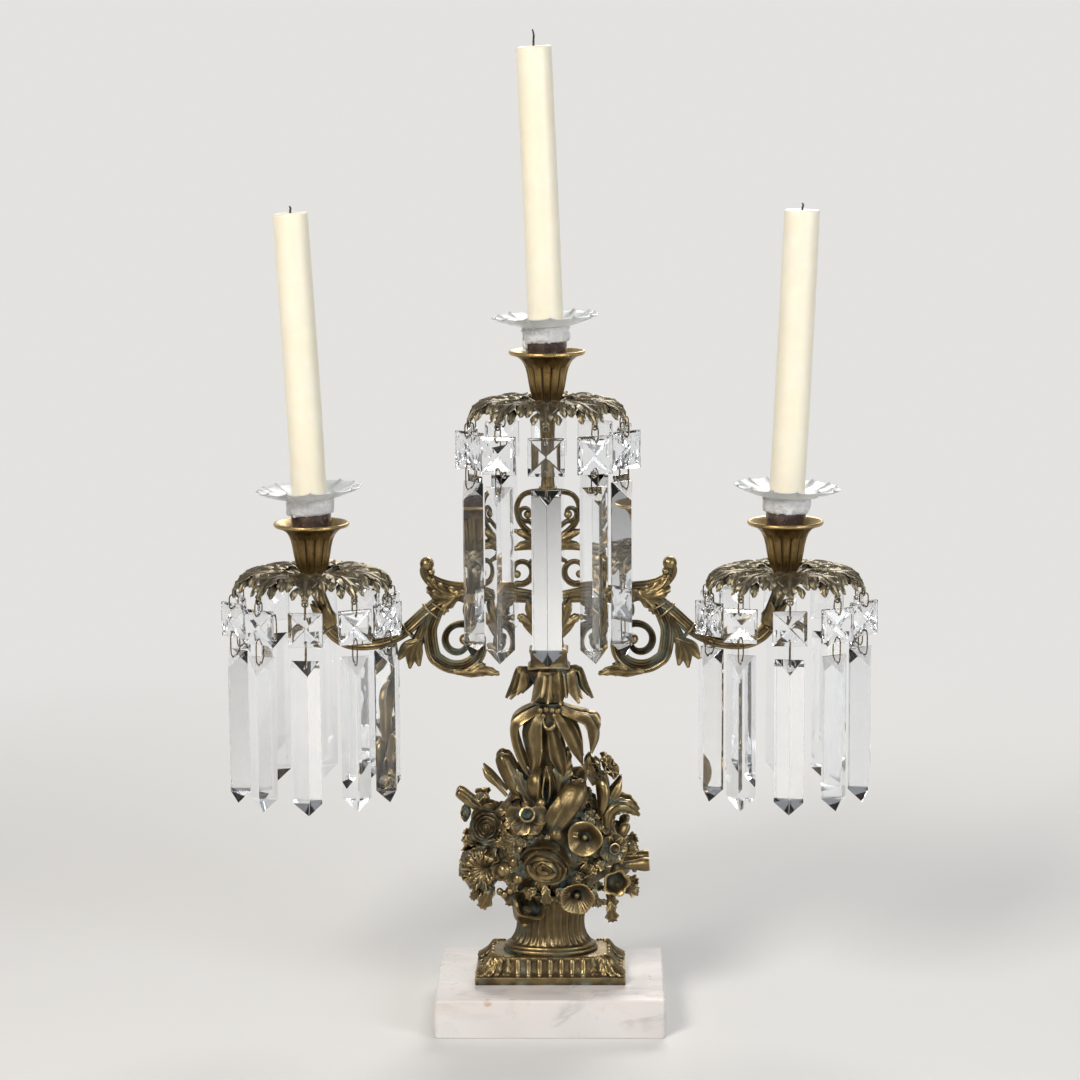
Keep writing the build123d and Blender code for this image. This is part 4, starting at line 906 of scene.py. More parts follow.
for x, y, z, dx, dz, wide in ((46, -9, 109, 9.5, 1.5, 5.5), (46, -9, 84, 10, -3, 5.4), (38, -13, 75, 1.6, -12.5, 5.6),
                              (27, -17, 82, 5, -8, 4.2), (-36, -12, 86, -8, -15, 6.4), (-44, -8, 84, -6, -8, 4.0),
                              (-25, -17, 112, -8, 6, 5.0), (-30, -16, 110, 2, 9, 4.0), (28, -17, 103, 7, -3, 4.8),
                              (-9, -21, 86, -7, -4, 5), (6, -20, 86, 5, -6, 4.5), (33, -15, 97, 4, 6, 4.0),
                              (-47, -7, 112, -8, 4, 4.5), (16, -18, 103, 8, 4, 4.6), (-24, -16, 86, -2, -12, 4.6),
                              (-3, -20.5, 88, 1.5, -13, 5.2), (5, -20, 86, 3, -9, 4.2), (28, -15, 84, -1, -11, 4.4),
                              (-17, -20, 97, -8, 5, 4.8), (-19, -20, 107, -6, -7, 4.6), (-22, -19, 119, -4, -7, 4.2), (13, -20.5, 91, 7, 3, 4.2),
                              (11, -20, 119, 6, 5, 4.2), (31, -18, 107, -7, 5, 4.2), (-9, -21, 120, -7, 4, 4.4), (23, -19, 96, 6, 4, 4.4),
                              (-26, -18, 106, 3, 9, 3.6), (-21, -19, 92, -3, -8, 4.4)):
    spine = [(x, y, z), (x + dx * 0.35, y - 2.2, z + dz * 0.35), (x + dx * 0.75, y - 2.4, z + dz * 0.75), (x + dx, y - 0.6, z + dz)]
    face_parts.append(leaf(spine, [wide * 0.35, wide * 0.8, wide * 0.7, 0.4], (0, -1, 0.2), 1.5, 3, 0.42, 0.12, 0.5, 0.45,
                           rows=24, across=12))
for petal in range(7):
    angle = math.radians(60 + 42 * petal)
    tip = (-43.5 + 13.5 * math.cos(angle), -10 - 3 * math.sin(petal * 1.7), 97.5 + 13.0 * math.sin(angle))
    middle = (-42.5 + 6 * math.cos(angle), -17, 97.5 + 6 * math.sin(angle))
    face_parts.append(leaf([(-40, -13, 97.5), middle, ((middle[0] + tip[0]) / 2, -18 + 2 * (petal % 2), (middle[2] + tip[2]) / 2), tip],
                           [2.0, 4.6, 6.2, 2.8], (0, -1, 0.1), 1.4, 4, 0.3, 0.25, 0.3, 0.4, 0.9, rows=28, across=14))
set_flower(trumpet(5.0, 6, 0, 0), (-31.5, -22.5, 97.0), (-0.6, -1, 0.05))
face_parts.append(ball((-28.5, -20.0, 98.0), 5.0))
set_flower(bell(11.0, 17, 5), (-12.2, -20.5, 76.5), (0.4, -0.75, 0.8))
face_parts.append(bar([(-13.5, -20, 73), (-16.0, -19.6, 66.5), (-15.9, -19, 63.0)], [7, 5, 2], [6, 4, 2], rows=12, sides=14))
face_parts.append(ball((-15.8, -19.4, 62.2), 1.7))
for x, y, z, radius in ((-28.4, -20, 82, 2.6), (-25.2, -21, 84.5, 2.2), (-31.5, -18.5, 83.5, 2.3), (-19.7, -24, 93.4, 3.4), (30, -19, 100, 2.0),
                        (34, -16, 76, 1.9), (44.5, -13, 102, 2.3), (-22, -21, 128.5, 2.6), (53.5, -8, 95, 1.8), (-5, -19, 140.5, 3.4),
                        (-12, -24, 121, 2.4), (9.5, -20, 94, 2.0), (-22.5, -22, 103.5, 3.2), (-18.5, -22.5, 112, 2.3)):
    face_parts.append(ball((x, y, z), radius, (1, 1, 1.1)))
piece("bouquet_front", face_parts, "root", aged_brass, smooth=55)
piece("bouquet_back", [mirrored(part, 1) for part in face_parts], "root", aged_brass, smooth=55)
piece("bouquet_foliage", bouquet_core + [mirrored(part, 1) for part in bouquet_core[1:]], "root", aged_brass,
      ["bouquet"], 55)

# Leaf spray: the neck above the bouquet, wrapped in long lily leaves that arch out and hang down over the flowers,
# with a knot of berries where they spring. Cast in one with its leaves, and threaded on the rod.
SPRAY_TOP = 202.0
neck_turns = np.linspace(0, 2 * np.pi, 48, endpoint=False)
neck_rings = []
for height, radius in ((172, 6.2), (180, 7.0), (187, 8.6), (191, 9.4), (194, 9.0), (197, 8.2), (199.5, 8.0), (202, 9.4)):
    swell = radius * (1 + 0.05 * np.cos(7 * neck_turns + height * 0.2))
    neck_rings.append(np.stack([swell * np.cos(neck_turns), swell * np.sin(neck_turns), np.full(48, height)], 1))
spray_parts = [skin(neck_rings)]
hung_leaves = (
    ([(-3, -5, 201), (-10, -9, 198.5), (-18, -11, 194.5), (-22.6, -11.5, 189.5), (-22.8, -12, 181), (-20.2, -12, 171), (-16.2, -11.5, 162),
      (-12, -11, 156)], [2.5, 4.0, 4.6, 4.2, 3.0, 2.9, 2.2, 0.5], [(0, -0.5, 1), (-0.4, -0.6, 1), (-0.8, -0.7, 0.6), (-1, -0.8, 0.2), (-0.8, -1, 0)]),
    ([(-4, -8, 197), (-9, -12.5, 193), (-11.5, -14.5, 186), (-10.5, -15, 176), (-9.5, -14.5, 166), (-11, -13, 156)],
     [2.6, 5.0, 6.4, 5.6, 3.6, 0.5], [(-0.3, -0.7, 0.8), (-0.3, -1, 0.2), (-0.1, -1, 0)]),
    ([(4, -8, 197), (9, -13, 192.5), (13.5, -15.5, 185), (17.5, -15, 175), (21, -12.5, 164)],
     [2.6, 4.4, 4.8, 4.0, 0.4], [(0.2, -0.7, 0.8), (0.2, -1, 0.3), (0.3, -1, 0)]),
    ([(3, -4, 201), (11, -7, 198), (19, -9, 195.5), (25, -9.8, 193), (28.6, -10.4, 187), (28.8, -10.4, 180), (26.5, -9.8, 171)],
     [2.4, 3.8, 4.4, 4.6, 4.6, 3.8, 0.6], [(0, -0.5, 1), (0.3, -0.6, 1), (0.7, -0.8, 0.5), (0.7, -1, 0.1), (0.4, -1, 0)]),
    ([(24, -6, 194), (29.0, -5.5, 193), (31.2, -6, 189), (30, -6.5, 183)], [1.8, 2.8, 2.6, 0.5], [(0.3, -0.6, 1), (1, -0.5, 0.4), (1, -0.6, 0)]),
    ([(1, -12, 188), (3.5, -14, 179), (6, -13.5, 168), (9, -11.5, 155)], [1.8, 4.0, 4.8, 1.2], [(0.1, -1, 0.1), (0.1, -1, 0)]))
for spine, widths, looks in hung_leaves:
    one = leaf(spine, widths, looks, 1.7, 0, 0, -0.1, 0, 0.75, 0.25, rows=48, across=16, keel=0.38)
    spray_parts += [one, mirrored(one, 1)]
for x, z, radius in ((-5.6, 198.4, 2.2), (-1.9, 198.9, 2.0), (1.9, 198.6, 2.0), (5.4, 198.2, 2.1), (-3.4, 194.6, 1.8), (3.2, 194.8, 1.8)):
    boss = ball((x, -9.4, z), radius, (1, 1, 1.15))
    spray_parts += [boss, mirrored(boss, 1)]
lip = bar([(-3.4, -11.5, 192), (-2.2, -14, 188.6), (0.6, -14.6, 187.4), (3, -14, 189.2), (3.8, -11.8, 192)], [1.4, 2.2, 2.6, 2.2, 1.4], 2.2,
          rows=18, sides=10)
spray_parts += [lip, mirrored(lip, 1)]
piece("lily_spray", spray_parts, "root", aged_brass, ["leaf_spray"], 60)

# Capital: a skirt of palm leaves that spring from under the block and hang free, each bent over and pointed.
CAPITAL = (202.0, 224.0, 23.5)
capital_turns = np.linspace(0, 2 * np.pi, 72, endpoint=False)
capital_rings = []
for height, radius in ((203, 8.6), (208, 8.8), (214, 9.8), (219, 12.5), (222.5, 15.0), (223.6, 14.5), (223.9, 12.5), (223.9, 6)):
    swell = radius * (1 + 0.03 * np.cos(12 * capital_turns))
    capital_rings.append(np.stack([swell * np.cos(capital_turns), swell * np.sin(capital_turns), np.full(72, height)], 1))
capital_parts = []
# Painted shade: shaded_brass is a near-black brass for the capital's core, standing in for the shade behind the leaves.
shaded_brass = brass_finish("shaded_brass", (0.045, 0.034, 0.019, 1), (0.016, 0.013, 0.009, 1), (0.22, 0.16, 0.08, 1), 0.6, 0.42, 0.008)
for row, (count, reach, low, wide) in enumerate(((14, CAPITAL[2] - 0.5, 204.6, 3.7), (14, CAPITAL[2] - 4.0, 208.0, 3.5))):
    spine = [(0, -9, 223.0), (0, row - 14.2, 223.6 - row), (0, row - 16.2, 221.0 - row), (0, (row - 15.6 - reach) / 2, (low + 220.0) / 2),
             (0, -reach, low)]
    looks = [(0, 0, 1), (0, -0.4, 1), (0, -1, 0.6), (0, -1, 0.1), (0, -1, 0)]
    one = leaf(spine, [2.2, wide * 0.78, wide * 0.86, wide, 0.5], looks, 1.7, 0, 0, 0.0, 0, 0.5, 0.0, rows=30, across=12, keel=0.7)
    skirt = repeated([one], count, aged_brass, turn=2 * math.pi / count, size_spread=0.0, turn_spread=(0.03, 0.03, 0.07))
    capital_parts.append(placed(skirt, Matrix.Rotation(math.radians(12 + 12.9 * row), 4, "Z")))
piece("palm_capital", capital_parts, "root", aged_brass, ["capital"], 32)
# The core behind the leaves takes the painted-shade brass.
piece("capital_hollow", [skin(capital_rings)], "root", shaded_brass)

# Branch: a block, a calyx of leaves and a lyre of fluted scrolls on both sides of the upright stem.
# It is one flat casting, worked on both faces, and it carries the middle light on its top.
BLOCK_LOW = 223.9
CENTRE_SEAT = 388.2


def flat_bar(path, widths, depth, flutes=8, groove=0.24, rows=44, sides=32):
    """A scroll that lies in the plane of the arms, through (across, height) points."""
    return bar([(x, 0, z) for x, z in path], widths, depth, rows=rows, sides=sides, flutes=flutes, groove=groove, square=1.25)


def volute(centre, start_radius, end_radius, start, sweep, count=14, ease=1.3):
    """Points of a scroll that winds in to its eye."""
    points = []
    for step in range(count + 1):
        part = step / count
        radius = start_radius + (end_radius - start_radius) * part**ease
        angle = math.radians(start + sweep * part)
        points.append((centre[0] + radius * math.cos(angle), centre[1] + radius * math.sin(angle)))
    return points


def both_faces(path, widths, depth, lobes, rise=0.6, **given):
    """A lobed leaf on the front of a flat casting and one on its back."""
    front = leaf([(x, -depth, z) for x, z in path], widths, (0, -1, 0.02), 1.8, lobes, 0.34, -0.16, 0.3, rise, **given)
    return [front, mirrored(front, 1)]


stem_turns = np.linspace(0, 2 * np.pi, 48, endpoint=False)
stem_rings = []
for height, radius in ((237, 8.6), (237.8, 9.4), (238.6, 8.6), (239.2, 7.4), (239.8, 8.2), (240.6, 7.2), (242, 5.6), (250, 4.9), (262, 4.3), (290, 3.9),
                       (325, 3.8), (335, 4.6), (337, 4.9), (339, 4.4), (345, 3.9), (372, 4.5), (382, 5.0), (384, 6.2), (386, 6.6), (388, 6.0), (388.2, 4.5)):
    flute = 0.11 if 242 < height < 382 else 0
    swell = radius * (1 - flute * (0.5 - 0.5 * np.cos(8 * stem_turns)) ** 0.7)
    stem_rings.append(np.stack([swell * np.cos(stem_turns), swell * np.sin(stem_turns) * (0.75 if height < 241 else 1),
                                np.full(48, height)], 1))
branch_parts = [skin(stem_rings)]
branch_parts.append(skin([block_level(width, deep, height, corner) for width, deep, height, corner in (
    (25.6, 19, BLOCK_LOW, 1.5), (26.6, 20, BLOCK_LOW + 0.6, 1.5), (26.6, 20, BLOCK_LOW + 1.6, 1.5), (24.6, 18.4, BLOCK_LOW + 2.4, 1.5), (23.6, 17.6, BLOCK_LOW + 3.2, 2),
    (22.6, 17, BLOCK_LOW + 6.5, 2), (23.4, 17.6, BLOCK_LOW + 10.4, 2), (24.4, 18.4, BLOCK_LOW + 11.2, 1.5), (24.4, 18.4, BLOCK_LOW + 12.4, 1.5), (21, 16, BLOCK_LOW + 13.4, 2))]))
curl = volute((17.5, 285.6), 8.6, 3.0, -75, -330)
loop = [(1, 303), (8, 307), (16.5, 315), (19.2, 322), (19.0, 328), (15.5, 333.5), (9, 335.6), (0, 335.8)]
inner = volute((13.6, 322.2), 5.6, 1.4, -110, 330, 12, 1.0)
half = [
    flat_bar([(2, 238), (6, 248), (9, 258), (12.7, 272.5)], [9, 9.5, 7, 1.2], 8),
    flat_bar([(4, 243), (11, 250), (16, 255), (19, 256.5)], [7.5, 7.5, 4, 1.2], 7),
    flat_bar([(4, 247), (7, 241.5), (9, 236.8)], [5, 4, 1.2], 7),
    flat_bar([(26, 276.6), (22, 275.8)] + curl, [4.4, 4.2, 3.8, 3.4, 3.0, 2.4], 5.4, rows=64),
    ball((curl[-1][0], 0, curl[-1][1]), 2.5, (1, 1.2, 1)),
    flat_bar([(0, 298), (5, 294.5), (11.5, 291.5)], [4.4, 3.8, 2.4], 4.6),
    flat_bar([(0, 298), (9, 301.5), (20.8, 299.0)], [6.4, 6.0, 1.4], 7),
    flat_bar([(0, 301), (9, 305.0), (20.6, 310.6)], [6.0, 5.4, 1.4], 6.6),
    flat_bar(loop, [6.4, 4.6, 3.8, 3.5, 3.4, 3.4, 3.6, 3.8], 5.6, rows=70),
    flat_bar([(2, 311), (7, 313.5)] + inner, [3.4, 3.2, 3.0, 2.6, 1.8], 4.8, rows=60),
    ball((inner[-1][0], 0, inner[-1][1]), 2.6, (1, 1.15, 1)),
]
half += both_faces([(3, 240), (7, 250), (11, 259), (13.5, 268)], [2.2, 4.4, 3.6, 0.6], 3.2, 3)
half += both_faces([(4, 245), (10, 250.5), (15.5, 254.8), (19.2, 256.8)], [2.4, 3.8, 3.0, 0.8], 3.0, 3)
half += both_faces([(1, 299), (8, 302.2), (15, 302.2), (21.2, 299.6)], [2.2, 3.4, 2.6, 0.5], 2.8, 3)
half += both_faces([(1, 302), (8, 305.8), (15, 309.0), (21.0, 311.2)], [2.2, 3.2, 2.4, 0.5], 2.8, 3)
branch_parts += half + [mirrored(part) for part in half]
for side in (-1, 1):
    for lean in (-1, 0, 1):
        spine = [(lean * 2, side * 5.5, 241), (lean * 3.4, side * 7.6, 249), (lean * 4.4, side * 7.4, 257), (lean * 5.6, side * (9 - abs(lean) * 2), 263 - abs(lean) * 3)]
        branch_parts.append(leaf(spine, [1.8, 3.2, 2.8, 0.5], (0, side, 0), 1.6, 0, 0, -0.3, 0, 0.5, rows=22, across=10))
    for height in (296, 300.5, 338):
        branch_parts.append(bar([(-5, side * 1.5, height), (-2.5, side * 4.3, height), (2.5, side * 4.3, height), (5, side * 1.5, height)], 1.8, 1.6,
                                up=(0, 0, 1), rows=14, sides=8))
piece("lyre_branch", branch_parts, "root", aged_brass, ["branch"], 60)

# Arms: one flat casting each. An acanthus wing springs from the lyre and curls up, a fluted scroll winds in under
# it, and the bound arm runs down and up again to a leaning stem under its light.
ARM_REACH = 148.0
SIDE_SEAT = 281.2
roll = volute((56.2, 240.6), 19.0, 3.6, -4, -560, 26, 0.92)
arm_parts = [
    flat_bar([(9, 269), (22, 270.4), (39, 271), (52, 272.5), (62, 274.0), (70, 277.4), (75.2, 281.4), (77.4, 285.4), (76.6, 289.4)],
             [8, 10, 11.2, 12, 11, 9, 7.4, 6.4, 6.0], 7.4, 12, 0.2, 80, 36),
    ball((76.0, 0, 290.2), 4.5, (1, 1.05, 1), 12, 20),
    ball((73.6, 0, 285.2), 2.6, (1, 1.5, 1)),
    flat_bar([(52, 271), (62, 272), (70, 273.5), (76.5, 275.2)], [8, 8, 6, 1.6], 8.4, 8, 0.12),
    flat_bar([(60, 273), (66.5, 267), (72, 256), (74.6, 247)] + roll[1:], [7, 8.6, 9.0, 9.0, 9.2, 8.4, 7.0, 5.4, 4.6, 4.2, 4.6, 4.8, 4.6, 3.8, 3.0, 2.2],
             7.4, 12, 0.34, 150, 48),
    ball((roll[-1][0], 0, roll[-1][1]), 3.4, (1, 1.25, 1)),
    flat_bar([(62, 271), (77, 259.5), (90, 248.0), (101, 242.2), (112, 240.0), (124, 240.6), (133, 244.8), (138.5, 251), (141, 257.5)],
             [9, 8.4, 8.0, 8.2, 9.2, 10, 9.8, 9.0, 9.2], 8.2, 10, 0.24, 90, 40),
    flat_bar([(138, 250), (143.5, 251.4), (148.5, 249), (151, 244), (149.6, 239.2)], [5, 5.2, 4.2, 3.2, 1.6], 5.6, 8, 0.14),
    flat_bar([(77, 258), (79.5, 249), (82.5, 241), (86, 234)], [4, 6, 8, 7.4], 6.8, 8, 0.12),
    flat_bar([(44, 268), (50.6, 264.5), (51.8, 258.6), (48.6, 254.8), (45.0, 255.2)], [5, 4.6, 3.8, 3.4, 2.6], 5.2, 8, 0.14),
    flat_bar([(60, 222.2), (50, 220.8), (42, 221.2), (31, 219.8)], [4, 6.2, 5.6, 1.2], 6.4, 8, 0.12),
    ball((44.2, 0, 255.0), 2.0),
]
arm_parts += both_faces([(20, 268.6), (36, 269.2), (50, 269.8), (62, 271.6), (70.5, 275.8), (75.6, 282.6)], [2.5, 3.8, 4.8, 5.0, 3.8, 1.2], 3.1, 6, 0.8,
                        rows=60, across=16)
arm_parts += both_faces([(50, 272), (59, 270), (67, 270), (76, 273.6)], [2.6, 4.8, 4.6, 0.8], 3.7, 4, 0.8)
arm_parts += both_faces([(56, 273), (60, 268), (64.5, 263.5), (66, 258.5)], [2.2, 3.8, 3.2, 0.6], 3.8, 3, 0.7)
arm_parts += both_faces([(40, 268), (46, 266), (50, 261.5), (49, 256.5)], [1.4, 2.8, 2.2, 0.8], 2.5, 3, 0.5)
arm_parts += both_faces([(60, 222), (50, 221.4), (41, 222.2), (31.5, 220)], [1.6, 3.4, 3.4, 0.6], 2.6, 4, 0.6)
arm_parts += both_faces([(49, 223), (44.5, 225.4), (40, 225.2)], [1.2, 2.2, 0.6], 2.4, 2, 0.5)
for tip_x, tip_z in ((81.5, 225.6), (87.5, 224.2), (94.5, 229.8)):
    arm_parts += both_faces([(81.5, 241.5), ((81.5 + tip_x) / 2 + 1.5, (241.5 + tip_z) / 2 + 1), (tip_x, tip_z)], [2.4, 3.6, 0.7], 2.6, 0, 0.8)
    arm_parts.append(flat_bar([(82, 241), ((82 + tip_x) / 2 + 1, (241 + tip_z) / 2 + 0.6), (tip_x, tip_z)], [5, 4.4, 1.4], 5.4, 0, rows=20, sides=14))


def binding(start, end, width, depth):
    """A ribbon wound round an arm, from one edge to the other."""
    line = []
    for step in range(25):
        angle = 2 * math.pi * step / 24
        share = 0.5 - 0.5 * math.cos(angle)
        line.append((start[0] + (end[0] - start[0]) * share, -math.sin(angle) * depth, start[1] + (end[1] - start[1]) * share))
    return bar(line, width, width * 0.8, up=(0.3, 0, 1), rows=40, sides=8)


arm_parts += [binding((78.5, 264.5), (68.8, 255.5), 1.8, 4.9), binding((74.0, 266.5), (63.0, 260.0), 1.4, 4.9), binding((91.5, 251.5), (85.0, 243.5), 1.7, 4.8),
              binding((90.5, 239.2), (79.2, 243.2), 1.6, 4.2), binding((134.8, 251.0), (142.2, 246.0), 1.5, 4.9)]
lean = math.radians(20)
stem_shapes = []
for height, radius in ((-31, 4.3), (-27, 5.2), (-25.6, 5.8), (-24.4, 5.4), (-22, 4.5), (-12, 4.3), (-5, 4.8), (-3, 5.4), (-1.5, 5.7), (1.9, 5.2)):
    flute = 0.12 if -24 < height < -4 else 0.0
    swell = radius * (1 - flute * (0.5 - 0.5 * np.cos(8 * stem_turns)) ** 0.7)
    flat = np.stack([swell * np.cos(stem_turns), swell * np.sin(stem_turns), np.full(48, float(height))], 1)
    stem_shapes.append(flat)
side_stem = placed(skin(stem_shapes), Matrix.Translation((ARM_REACH - 0.6, 0, SIDE_SEAT - 1.0)) @ Matrix.Rotation(lean, 4, "Y"))
side_stem[0][:, 2] = np.minimum(side_stem[0][:, 2], SIDE_SEAT)
arm_parts.append(side_stem)
for side in (-1, 1):
    for shift in (-3, 3):
        spine = [(138.4 + shift * 0.6, side * 3.4, 252), (141.0 + shift * 0.9, side * 5.4, 257.5), (142.6 + shift * 1.1, side * 5.8, 262), (144 + shift * 1.7, side * 5.4, 266)]
        arm_parts.append(leaf(spine, [2.0, 2.8, 2.2, 0.4], (0, side, 0), 1.3, 0, 0, -0.3, 0, 0.4, rows=18, across=8))
piece("right_arm", arm_parts, "root", aged_brass, ["arm_right"], 60)
piece("left_arm", [mirrored(part) for part in arm_parts], "root", aged_brass, ["arm_left"], 60)

# Canopies: a cast saucer with ten acanthus leaves that arch outward and down, each drilled at its tip for a drop.
# They were lacquered over the gilding and have gone a dull olive grey.
CANOPY_REACH = 50.35
HOLE_DROP = 7.2
LIGHTS = {"centre": (0.0, CENTRE_SEAT, -2.1, 193.0, 10.0), "left": (-ARM_REACH, SIDE_SEAT, -2.75, 200.0, 4.0),
          "right": (ARM_REACH, SIDE_SEAT, 2.75, 200.0, 4.0)}
canopy_brass = brass_finish("canopy_brass", (0.165, 0.137, 0.09, 1), (0.034, 0.029, 0.022, 1), (0.42, 0.35, 0.22, 1), 0.45, 0.36, 0.006)


def acanthus():
    """One leaf, along -Y from the saucer: a ribbed blade, five fingers on each side that hang at their tips, an eyelet."""
    spine = [(0, -12, 1.0), (0, -22, 3.6), (0, -32, 4.9), (0, -40, 3.6), (0, -46, 0.2), (0, -49.2, -3.8), (0, -50.3, -6.4)]
    looks = [(0, 0, 1), (0, 0, 1), (0, -0.2, 1), (0, -0.6, 1), (0, -1, 0.7), (0, -1, 0.2), (0, -1, 0)]
    blade = [5.0, 7.2, 8.2, 7.2, 4.8, 2.5, 1.8]
    parts = [leaf(spine, blade, looks, 1.6, 5, 0.45, 0.06, 0.35, 0.9, rows=64, across=20)]
    tiers = ((-18, 9.0, -26.5, 3.0, -1.0), (-24, 11.2, -34.5, 3.6, -2.2), (-30, 11.2, -41.5, 3.6, -4.2), (-36, 7.6, -47.2, 3.1, -4.4))
    for side in (-1, 1):
        for start, out, reach, wide, hang in tiers:
            lift = float(np.interp(-reach, [12, 22, 32, 40, 46, 50], [1.0, 3.6, 4.9, 3.6, 0.2, -4]))
            finger = [(side * 1.5, start, lift * 0.6 + 2.4), (side * out * 0.5, start * 0.6 + reach * 0.4, lift + 1.7),
                      (side * out * 0.86, start * 0.2 + reach * 0.8, lift + 0.9), (side * out, reach, lift + hang * 0.45),
                      (side * out * 1.02, reach - 1.0, max(lift + hang, -6.6))]
            parts.append(leaf(finger, [0.8, wide, wide, wide * 0.75, 0.5], (side * 0.2, -0.3, 1), 1.3, 2, 0.3, -0.3, 0, 0.7,
                              rows=22, across=8))
    ring = []
    for step in range(17):
        angle = 2 * math.pi * step / 16
        ring.append((1.75 * math.cos(angle), -CANOPY_REACH, -HOLE_DROP + 1.75 * math.sin(angle) - 0.1))
    parts.append(bar(ring, 1.1, 1.4, up=(0, 1, 0), rows=30, sides=8))
    return parts


leaf_ring = repeated(acanthus(), 10, canopy_brass, turn=math.radians(36))
saucer_turns = np.linspace(0, 2 * np.pi, 120, endpoint=False)
saucer_rings = []
for radius, height in ((4, 0.05), (16, 0.05), (19.5, 0.4), (21.5, 1.4), (21.9, 2.4), (21.2, 3.0), (19.6, 2.9), (17, 2.3), (13, 1.9), (9.5, 1.8), (4, 1.8)):
    reach = radius * (1 + 0.035 * np.cos(10 * saucer_turns + np.pi) * (radius > 18))
    saucer_rings.append(np.stack([reach * np.cos(saucer_turns), reach * np.sin(saucer_turns), np.full(120, height)], 1))
saucer = skin(saucer_rings)
for light, (x, seat, tilt, length, wick) in LIGHTS.items():
    lift = Matrix.Translation((x, 0, seat))
    piece(light + "_leaf_canopy", [placed(leaf_ring, lift), placed(saucer, lift)], "root", canopy_brass,
          [light + "_canopy"], 60)

# Sockets: a cast tulip of twelve rounded petals with a turned, flared lip. It is screwed down on its canopy, and is
# the brightest metal here, handled and polished more than the rest.
MOUTH = 1.8 + 33.5
socket_brass = brass_finish("socket_brass", (0.38, 0.255, 0.10, 1), (0.06, 0.036, 0.016, 1), (0.66, 0.48, 0.22, 1), 0.15, 0.24, 0.006)
petal_turns = np.linspace(0, 2 * np.pi, 240, endpoint=False)
petal = np.abs(np.cos(6 * petal_turns)) ** 0.7
socket_rings = []
tulip = ((0, 4, 0), (0, 7.0, 0), (0.6, 7.5, 0), (1.4, 7.2, 0.1), (2.4, 7.7, 0.6), (5, 9.3, 1), (9, 10.6, 1), (14, 11.6, 1),
         (19, 12.4, 1), (23, 13.4, 1), (26, 14.7, 1), (28, 16.2, 0.9), (29.6, 18.2, 0.6), (30.6, 20.2, 0.25), (31.1, 21.8, 0),
         (31.4, 22.9, 0), (32.1, 23.6, 0), (33.0, 23.8, 0), (33.8, 23.4, 0), (34.0, 22.6, 0), (33.5, 21.6, 0), (31.6, 19.2, 0),
         (29.5, 16.8, 0), (26.5, 14.6, 0), (24.2, 13.2, 0), (24.0, 8.3, 0), (11, 8.3, 0), (10.6, 2, 0))
for height, radius, depth in tulip:
    reach = radius * (1 - 0.19 * depth * (1 - petal))
    socket_rings.append(np.stack([reach * np.cos(petal_turns), reach * np.sin(petal_turns), np.full(240, height)], 1))
socket_shape = skin(socket_rings)
for light, (x, seat, tilt, length, wick) in LIGHTS.items():
    piece(light + "_tulip_socket", [placed(socket_shape, Matrix.Translation((x, 0, seat + 1.8)))], "root", socket_brass,
          [light + "_socket"], 50)

# Nozzles: plain turned cups, lacquered a dark purple brown, that stand in the sockets a little askew.
# A broken collar of old fixing wax sits on each, pressed round by thumb to carry the glass.


def askew(light):
    """The place of a socket's mouth, with the lean of what stands in it."""
    x, seat, tilt = LIGHTS[light][:3]
    return Matrix.Translation((x, 0, seat + MOUTH)) @ Matrix.Rotation(math.radians(tilt), 4, "Y")


def lacquer_finish():
    """Dark lacquer with rubbed spots, dust and a soft shine."""
    material, tree, shader, place = new_material("nozzle_lacquer")
    colour = blend_colour(tree, noise_mix(tree, place, 120, 4, 0.35, 0.7), (0.055, 0.036, 0.033, 1), (0.12, 0.080, 0.062, 1))
    rubbed = noise_mix(tree, place, 260, 5, 0.62, 0.72)
    colour = blend_colour(tree, sum_of(tree, "MULTIPLY", rubbed, 0.7), colour, (0.30, 0.22, 0.17, 1))
    dust = noise_mix(tree, place, 700, 2, 0.6, 0.8)
    colour = blend_colour(tree, sum_of(tree, "MULTIPLY", dust, 0.3), colour, (0.45, 0.42, 0.40, 1))
    tree.links.new(colour, shader.inputs["Base Color"])
    tree.links.new(sum_of(tree, "ADD", sum_of(tree, "MULTIPLY", dust, 0.25), 0.2), shader.inputs["Roughness"])
    shader.inputs["Metallic"].default_value = 0.35
    bump(tree, shader, noise_mix(tree, place, 320, 3, 0.3, 0.7), 0.0002, 0.35)
    return material


def fixing_wax_finish():
    """Chalky white wax with fine crumbs, thumb marks and a little grey dust."""
    material, tree, shader, place = new_material("fixing_wax")
    colour = blend_colour(tree, noise_mix(tree, place, 160, 5, 0.35, 0.7), (0.80, 0.79, 0.77, 1), (0.66, 0.65, 0.66, 1))
    colour = blend_colour(tree, sum_of(tree, "MULTIPLY", noise_mix(tree, place, 500, 3, 0.58, 0.75), 0.5), colour, (0.48, 0.45, 0.43, 1))
    tree.links.new(colour, shader.inputs["Base Color"])
    tree.links.new(sum_of(tree, "ADD", sum_of(tree, "MULTIPLY", noise_mix(tree, place, 300, 3, 0.3, 0.7), 0.2), 0.6), shader.inputs["Roughness"])
    shader.inputs["Subsurface Weight"].default_value = 0.2
    shader.inputs["Subsurface Radius"].default_value = (0.003, 0.003, 0.003)
    bump(tree, shader, noise_mix(tree, place, 380, 6, 0.3, 0.7), 0.0008, 0.9)
    return material


